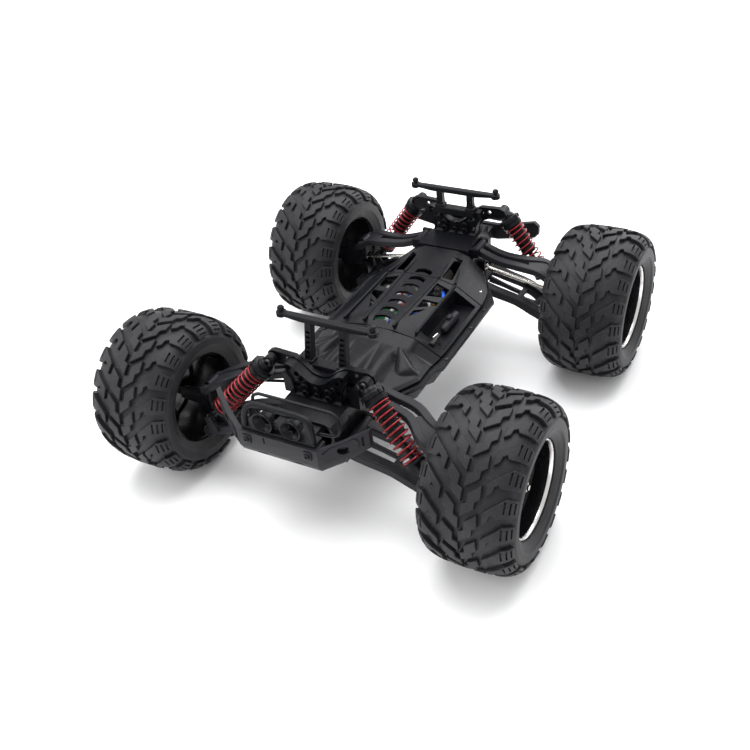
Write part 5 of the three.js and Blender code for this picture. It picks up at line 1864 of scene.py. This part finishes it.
@dataclass
class Cover:
    """The moulded cover: a sculpted nose, rails beside the windows, and its screws."""

    base: float = 68.3
    nose_stations: tuple[tuple[float, float, float, float], ...] = (
        (-77.0, 20.9, 74.0, 69.2), (-67.8, 34.7, 78.5, 69.6), (-50.8, 44.6, 80.0, 70.0),
        (-33.9, 44.6, 81.1, 70.0), (-22.3, 46.5, 83.4, 70.3),
    )
    horn_way: tuple[float, float] = (6.5, -65.9)
    horn_share: float = 0.25
    crown_half: float = 13.0
    crown_drop: float = 0.8
    shoulder_place: float = 0.45
    shoulder_drop: float = 0.22
    dip_start: tuple[float, float] = (18.0, -30.0)
    dip_fade: tuple[float, float] = (8.0, 12.0)
    dip_floor: float = 71.4
    dip_share: float = 0.62
    groove: tuple[float, float, float, float] = (8.6, -34.0, -60.0, 2.8)
    groove_width: tuple[float, float] = (1.2, 3.2)
    groove_drift: float = 1.4
    ridge: tuple[float, float, float] = (6.2, 2.2, 0.9)
    crease_start: tuple[float, float] = (30.0, -33.0)
    crease_fade: tuple[float, float] = (1.2, 1.5)
    crease_depth: float = 0.6
    knee_apex: Point = (22.8, -34.5, 80.2)
    knee_foot: Point = (34.6, -50.2, 75.2)
    knee_widths: tuple[float, float] = (3.4, 9.8)
    knee_rise: float = 0.2
    knee_end: tuple[float, float] = (0.86, 0.34)
    knee_fall: float = 1.3
    wall: float = 1.5
    rows: int = 84
    columns: int = 120
    rails: tuple[Line, ...] = ((11.6, -21.0, 13.6, 43.8, 2.0), (28.0, -20.0, 27.8, 43.8, 1.8))
    rear_rails: tuple[Line, ...] = ((13.8, 46.2, 12.2, 78.0, 2.0), (27.0, 46.2, 20.0, 74.0, 1.8))
    roof_tops: tuple[float, float] = (86.0, 86.2)
    rail_height: float = 2.4
    rail_drop: tuple[float, float] = (20.0, 2.6)
    rail_climb: float = 0.9
    socket: tuple[tuple[float, float], ...] = (
        (0, 1.4), (0, 2.6), (0.4, 3.0), (6, 3.0), (7, 2.3), (13, 2.1), (13, 1.4),
    )
    socket_foot: Point = (37.5, -18.5, 74.2)
    pin_ends: tuple[Point, Point] = ((36.2, -11.5, 76.6), (37.6, -6.8, 77.4))
    cover_seats: tuple[tuple[Point, float, float], ...] = (
        ((39.5, -31.0, 70.9), 0.3, 0), ((40.5, 58.0, 73.4), 0.5, 0.1),
    )
    tub_seats: tuple[tuple[float, float], ...] = ((49.7, -20.0), (49.9, 20.0), (49.6, 44.0))

    def station(self, y: float) -> tuple[float, float, float]:
        """The nose's half width, crown height and edge height at a place along it.

        Args:
            y: The place along the truck.

        Returns:
            These three measures.
        """
        stations = self.nose_stations
        i = next((i for i in range(1, len(stations)) if stations[i][0] >= y), len(stations) - 1)
        first, then = stations[i - 1], stations[i]
        t = (y - first[0]) / (then[0] - first[0])
        return tuple(a + (b - a) * t for a, b in zip(first[1:], then[1:]))

    def knee(self, x: float, y: float) -> float:
        """The height of the rounded knee at a place, or nothing outside it.

        Args:
            x: How far it is from the middle.
            y: Its place along the truck.

        Returns:
            The height, or 0.
        """
        ax, ay, az = self.knee_apex
        bx, by, bz = self.knee_foot
        dx, dy = bx - ax, by - ay
        size = math.hypot(dx, dy)
        t = ((x - ax) * dx + (y - ay) * dy) / size**2
        off = abs((x - ax) * dy - (y - ay) * dx) / size
        half = self.knee_widths[0] + (self.knee_widths[1] - self.knee_widths[0]) * max(t, 0.0)
        end_at, end_length = self.knee_end
        end = max(t - end_at, 0.0) / end_length
        start = max(-t, 0.0) / self.knee_rise
        if off >= half or start > 1.0 or end >= 1.0:
            return 0.0
        top = az + (bz - az) * max(t, 0.0) ** self.knee_fall
        fall = math.sqrt(1 - (off / half) ** 2) * math.sqrt(1 - end**2) * math.sqrt(1 - start**2)
        return self.base + (top - self.base) * fall

    def height(self, x: float, y: float) -> float:
        """The nose's height at a place.

        Args:
            x: How far it is from the middle.
            y: Its place along the truck.

        Returns:
            The height.
        """
        half, crown, edge = self.station(y)
        reach = abs(x)
        shoulder = crown - (crown - edge) * self.shoulder_drop
        bend = self.crown_half + (half - self.crown_half) * self.shoulder_place
        if reach < self.crown_half:
            z = crown - (reach / self.crown_half) ** 3 * self.crown_drop
        elif reach < bend:
            rim = crown - self.crown_drop
            z = rim + (shoulder - rim) * (reach - self.crown_half) / (bend - self.crown_half)
        else:
            z = shoulder + (edge - shoulder) * (reach - bend) / (half - bend)
        dip = unit((self.dip_start[1] - y) / self.dip_fade[1])
        dip *= unit((reach - self.dip_start[0]) / self.dip_fade[0])
        z -= dip * dip * (3 - 2 * dip) * max(z - self.dip_floor, 0.0) * self.dip_share
        middle, y0, y1, depth = self.groove
        run = unit((y0 - y) / (y0 - y1))
        width = self.groove_width[0] + self.groove_width[1] * run
        z -= depth * run * math.exp(-((reach - middle - self.groove_drift * run) / width) ** 2)
        aside, width, rise = self.ridge
        z += rise * run * math.exp(-((reach - middle - aside) / width) ** 2)
        crease = unit((reach - self.crease_start[0]) / self.crease_fade[0])
        crease *= unit((y - self.crease_start[1]) / self.crease_fade[1])
        return max(z - self.crease_depth * crease, self.knee(reach, y), self.base + 0.6)

    def nose(self) -> bpy.types.Object:
        """The front cover, shaped from a fine grid.

        Returns:
            The cover.
        """
        Bench.clear()
        bpy.ops.mesh.primitive_grid_add(x_subdivisions=self.columns, y_subdivisions=self.rows, size=2)
        piece = Bench.settle("dressed_front_cover")
        y0, y1 = self.nose_stations[0][0], self.nose_stations[-1][0]
        for vertex in piece.data.vertices:
            y = y0 + (vertex.co.y + 1) / 2 * (y1 - y0)
            u, half, way, share = abs(vertex.co.x), self.station(y)[0], self.horn_way[0], self.horn_share
            x = way * u / share if u <= share else way + (half - way) * (u - share) / (1 - share)
            x = math.copysign(x, vertex.co.x)
            vertex.co = mm(x, y, self.height(x, y))
        with Bench.edit(piece, "DESELECT"):
            middle, end = (value * MM for value in self.horn_way)
            Bench.pick(piece, lambda face: (
                abs(face.calc_center_median().x) < middle and face.calc_center_median().y < end
            ))
            bpy.ops.mesh.delete(type="FACE")
            bpy.ops.mesh.select_mode(type="EDGE")
            bpy.ops.mesh.select_all(action="SELECT")
            bpy.ops.mesh.region_to_loop()
            bpy.ops.mesh.extrude_region_move()
            mesh = bmesh.from_edit_mesh(piece.data)
            for vertex in mesh.verts:
                if vertex.select:
                    vertex.co.z = self.base * MM
            bmesh.update_edit_mesh(piece.data)
        Bench.apply(piece, "SOLIDIFY", {"thickness": self.wall * MM, "offset": -1.0})
        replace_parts(piece, "front_cover")
        return Bench.smooth(piece, 34)

    def strips(self, name: str, lines: Sequence[Line], tall: float) -> bpy.types.Object:
        """Raised rails on the roof.

        Args:
            name: The piece's name.
            lines: Each rail's ends, x and y, and its width.
            tall: The height of its top where the roof is flat.

        Returns:
            All these rails.
        """
        made = []
        limit, lower = self.rail_drop
        for x0, y0, x1, y1, width in lines:
            z = tall - (lower if x0 > limit else 0.0)
            climb = self.rail_climb if y0 > 0 else 0.0
            for side in Side:
                path = [
                    side.at(x0 + (x1 - x0) * t, y0 + (y1 - y0) * t, z + climb * t)
                    for t in (0, 0.25, 0.5, 0.75, 1)
                ]
                made.append(Bench.limb("rail", path, ACROSS, [(width, self.rail_height)] * 3, 0.5 * MM))
        return Bench.joined(name, made)

    def build(self, finishes: Finishes) -> None:
        """Model the nose, the rails and the screws.

        Args:
            finishes: The truck's finishes.
        """
        finishes.dress(self.nose(), "cover", "chassis")
        door_top, rear_top = self.roof_tops
        finishes.dress(self.strips("door_rails", self.rails, door_top), "cover", "battery_door")
        finishes.dress(self.strips("rear_rails", self.rear_rails, rear_top), "cover", "chassis")
        socket = Bench.spun("socket", self.socket, mm(*self.socket_foot), Vector((0, 1, 0.05)), 24)
        finishes.dress(socket, "shock", "battery_door")
        start, end = (mm(*corner) for corner in self.pin_ends)
        pin = Bench.soften(Bench.rod("socket_pin", start, end, 0.55 * MM, sides=12), 0.15 * MM)
        finishes.dress(pin, "chrome", "battery_door")
        seats = [
            (side.at(*seat), Vector((side.value * out, back, 1)))
            for seat, out, back in self.cover_seats for side in Side
        ]
        Screw(1.7 * MM, 1.0 * MM, 0.7 * MM).set("cover_screws", seats, finishes, "chrome", "chassis")
        seats = [(side.at(x, y, 68.0), UP) for side in Side for x, y in self.tub_seats]
        Screw(1.4 * MM, 0.8 * MM, 0.6 * MM).set("tub_screws", seats, finishes, "black_steel", "chassis")


@dataclass
class Electrics:
    """What shows through the slots: leads, two tall cans and a finned cooler on the board."""

    leads: tuple[tuple[str, float, tuple[Point, ...]], ...] = (
        ("white", 1.3, ((4, -20, 69.5), (2, -14, 77), (-3, -4, 79), (-5, 8, 78), (-2, 20, 79), (3, 30, 80))),
        ("white", 1.1, ((18, -20, 70), (22, -12, 76), (24, -2, 78), (22, 10, 79), (16, 24, 79), (6, 36, 80))),
        ("blue", 1.4, ((0, -21, 69.5), (-2, -12, 76), (1, -4, 78.5), (5, 6, 78), (4, 18, 79), (-3, 32, 80))),
        ("blue", 1.4, ((24, -20, 70), (26, -8, 77), (24, 4, 79.5), (22, 14, 79), (25, 28, 78), (20, 40, 79))),
        ("red", 1.1, ((8, -21, 69.5), (7, -10, 76), (3, 2, 77), (0, 14, 77.5), (-6, 26, 78), (-12, 36, 79))),
        ("black", 1.2, ((12, -21, 69.5), (11, -10, 76), (9, 6, 77), (10, 22, 78), (8, 36, 79.5))),
    )
    can: tuple[tuple[float, float], ...] = (
        (0, 0), (0, 3.6), (10.6, 3.6), (11.2, 3.1), (11.6, 3.1),
        (12.0, 3.6), (13.0, 3.6), (13.4, 3.2), (13.4, 0),
    )
    can_seats: tuple[Point, ...] = ((-14.0, -12.0, 63.5), (-24.0, 12.0, 63.5))
    cooler: tuple[Point, Point] = ((-32, -4, 63.6), (-16, 8, 66))
    fins: int = 6
    fin_pitch: float = 2.6
    fin_top: float = 72.0

    def build(self, finishes: Finishes) -> None:
        """Model the leads and the parts on the board.

        Args:
            finishes: The truck's finishes.
        """
        for i, (colour, radius, corners) in enumerate(self.leads):
            path = flowing([mm(*corner) for corner in corners], 6)
            lead = Bench.wire(f"lead_{i}", path, radius * MM)
            finishes.dress(lead, f"{colour}_lead", "chassis")
        cans = [Bench.spun("can", self.can, mm(*seat), UP, 24) for seat in self.can_seats]
        finishes.dress(Bench.joined("capacitors", cans), "chrome", "chassis")
        (x0, y0, z0), (x1, y1, z1) = self.cooler
        parts = [Bench.block("cooler", mm(x0, y0, z0), mm(x1, y1, z1))]
        for i in range(self.fins):
            x = x0 + 0.4 + i * self.fin_pitch
            parts.append(Bench.block("fin", mm(x, y0, z1 - 1), mm(x + 1.2, y1, self.fin_top)))
        piece = Bench.joined("board_cooler", parts)
        finishes.dress(Bench.soften(piece, 0.2 * MM, 1), "motor", "chassis")


# Drive shafts


@dataclass
class DriveShaft:
    """A thin bright shaft between two cups."""

    inner: Point = (21.6, 103.0, 67.2)
    outer: Point = (86.0, 103.0, 55.0)

    def build(self, finishes: Finishes) -> None:
        """Model both rear shafts.

        Args:
            finishes: The truck's finishes.
        """
        for side in Side:
            node = f"driveshaft_{side.word}"
            start, end = side.at(*self.inner), side.at(*self.outer)
            length = (end - start).length / MM
            cup = [(0, 0), (0, 2.2), (0.6, 2.9), (5.0, 2.9), (5.8, 2.2), (7.0, 1.5)]
            profile = cup + [(length - d, r) for d, r in reversed(cup)]
            shaft = Bench.spun(f"dressed_{node}", profile, start, end - start, 28, 30)
            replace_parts(finishes.dress(shaft, "steel", node), node)


# Everything cast in plastic


@dataclass(frozen=True)
class Casting:
    """How one CAD node is finished: its rounding, finish and body."""

    node: str
    body: str
    finish: str = "plastic"
    width: float = 0.45 * MM
    segments: int = 2


@dataclass
class Castings:
    """The parts whose CAD form is kept and whose edges are rounded."""

    middle: tuple[Casting, ...] = (
        Casting("chassis_tub", "chassis", "plastic", 0.6 * MM),
        Casting("battery_door", "battery_door", "cover", 0.5 * MM),
        Casting("rear_cover", "chassis", "cover", 0.6 * MM),
        Casting("door_latch", "door_latch", "arm", 0.4 * MM),
        Casting("front_bulkhead", "chassis", "shock", 0.5 * MM),
        Casting("rear_gearbox", "chassis", "plastic", 0.5 * MM),
        Casting("rear_bumper", "chassis", "arm", 0.6 * MM),
        Casting("steering_servo", "chassis", "plastic", 0.4 * MM),
        Casting("servo_horn", "servo_horn", "plastic", 0.3 * MM),
        Casting("steering_rack", "steering_rack", "plastic", 0.3 * MM),
        Casting("battery_pack", "chassis", "battery", 2.2 * MM, 4),
        Casting("receiver_board", "chassis", "board", 0.4 * MM),
        Casting("motor", "chassis", "motor", 0.5 * MM),
        Casting("spur_gear", "spur_gear", "gear", 0.15 * MM, 1),
        Casting("motor_pinion", "motor_pinion", "brass", 0.12 * MM, 1),
    )

    def sides(self) -> Iterator[Casting]:
        """The parts that stand on both sides.

        Returns:
            Each such part in turn.
        """
        corners = {"front_carrier": 0.4, "front_knuckle": 0.4, "rear_hub": 0.4, "tie_rod": 0.25}
        for side in Side:
            for kind, width in corners.items():
                node = f"{kind}_{side.word}"
                yield Casting(node, node, "plastic", width * MM)

    def build(self, finishes: Finishes) -> None:
        """Round and dress every such part.

        Args:
            finishes: The truck's finishes.
        """
        for casting in (*self.middle, *self.sides()):
            piece = Bench.cast(casting.node, f"dressed_{casting.node}", casting.width, casting.segments)
            finishes.dress(piece, casting.finish, casting.body)


# Studio


@dataclass
class Studio:
    """Floor, lights and camera."""

    azimuth: float = 30.64
    elevation: float = 38.3
    roll: float = -5.74
    distance: float = 0.7088
    lens: float = 45.17
    shift: tuple[float, float] = (-0.0361, 0.0384)
    lamps: tuple[tuple[str, Point, float, float], ...] = (
        ("top_softbox", (-0.2, 0.25, 1.5), 1.4, 29),
        ("left_softbox", (-1.3, -0.7, 0.8), 1.0, 10),
        ("back_softbox", (0.3, 1.5, 0.9), 1.2, 16),
    )
    surround: float = 0.88
    floor_size: float = 8.0
    sweep_height: float = 4.0

    def floor(self) -> None:
        """A pale floor that sweeps up far behind the truck."""
        Bench.clear()
        bpy.ops.mesh.primitive_plane_add(size=self.floor_size)
        piece = Bench.settle("studio_floor")
        with Bench.edit(piece, "DESELECT"):
            mesh = bmesh.from_edit_mesh(piece.data)
            bpy.ops.mesh.select_mode(type="EDGE")
            for edge in mesh.edges:
                edge.select_set(all(v.co.y > self.floor_size / 2 - 0.1 for v in edge.verts))
            bmesh.update_edit_mesh(piece.data)
            bpy.ops.mesh.extrude_region_move(TRANSFORM_OT_translate={"value": (0, 0, self.sweep_height)})
        Bench.apply(piece, "BEVEL", {"width": 1.2, "segments": 12, "limit_method": "ANGLE"})
        Bench.smooth(piece, 60)
        piece.data.materials.append(PaleGround().make())

    def light(self, name: str, at: Point, size: float, power: float) -> None:
        """A soft square light that looks at the truck.

        Args:
            name: Its name.
            at: Its place in metres.
            size: The length of its sides.
            power: Its power in watts.
        """
        lamp = bpy.data.lights.new(name, "AREA")
        lamp.size = size
        lamp.energy = power
        piece = bpy.data.objects.new(name, lamp)
        bpy.context.scene.collection.objects.link(piece)
        piece.matrix_world = toward(Vector(at) - Vector((0, 0, 0.05)), Vector(at))

    def camera(self) -> None:
        """The photograph's viewing angle."""
        az, el, roll = (math.radians(a) for a in (self.azimuth, self.elevation, self.roll))
        back = Vector((math.sin(az) * math.cos(el), -math.cos(az) * math.cos(el), math.sin(el)))
        right = Vector((math.cos(az), math.sin(az), 0))
        up = back.cross(right)
        across = right * math.cos(roll) + up * math.sin(roll)
        upward = up * math.cos(roll) - right * math.sin(roll)
        lens = bpy.data.cameras.new("camera")
        lens.lens = self.lens
        lens.sensor_width = 36
        lens.shift_x, lens.shift_y = self.shift
        lens.clip_start = 0.01
        piece = bpy.data.objects.new("camera", lens)
        bpy.context.scene.collection.objects.link(piece)
        turn = Matrix((across, upward, back)).transposed().to_4x4()
        piece.matrix_world = Matrix.Translation(back * self.distance) @ turn
        bpy.context.scene.camera = piece

    def build(self) -> None:
        """Set up the whole studio."""
        self.camera()
        self.floor()
        for lamp in self.lamps:
            self.light(*lamp)
        world = bpy.data.worlds.new("studio")
        world.use_nodes = True
        sky = world.node_tree.nodes["Background"]
        sky.inputs[0].default_value = (1, 1, 1, 1)
        sky.inputs[1].default_value = self.surround
        bpy.context.scene.world = world
        bpy.context.scene.view_settings.view_transform = "Standard"


def main() -> None:
    """Build the truck piece by piece and report each one."""
    logging.basicConfig(level=logging.INFO, format="%(message)s")
    finishes = Finishes()
    Studio().build()
    builders = [
        Castings(),
        Cover(),
        Electrics(),
        DriveShaft(),
        Arms(End.FRONT, -103.0, (84.0, 39.0), (24.3, 87.1), (84.0, 70.0), 15.5, -1),
        Arms(End.REAR, 103.0, (80.0, 39.0), (24.3, 86.1), (80.0, 70.0), -6.0, 1),
        Tower(End.FRONT, (34.5, 99.0), 79.5, -95.0, -102.5),
        Tower(End.REAR, (34.5, 107.0), 90.3, 112.6, 105.1),
        BodyMount(End.FRONT, (-86.95, 91.3), -81.2),
        BodyMount(End.REAR, (108.85, 104.6), 108.85),
        FrontBumper(),
        LightPod(),
        Wheels(),
        Shock(End.FRONT, (34.5, -98.4, 99.0), (79.17, -115.5, 51.61), 0.7465),
        Shock(End.REAR, (34.5, 120.0, 107.0), (75.44, 115.5, 51.72), 0.735),
    ]
    for builder in builders:
        known = set(bpy.data.objects)
        builder.build(finishes)
        for piece in bpy.data.objects:
            if piece not in known:
                log.info("%s: %s", type(builder).__name__, piece.name)


if __name__ == "__main__":
    main()
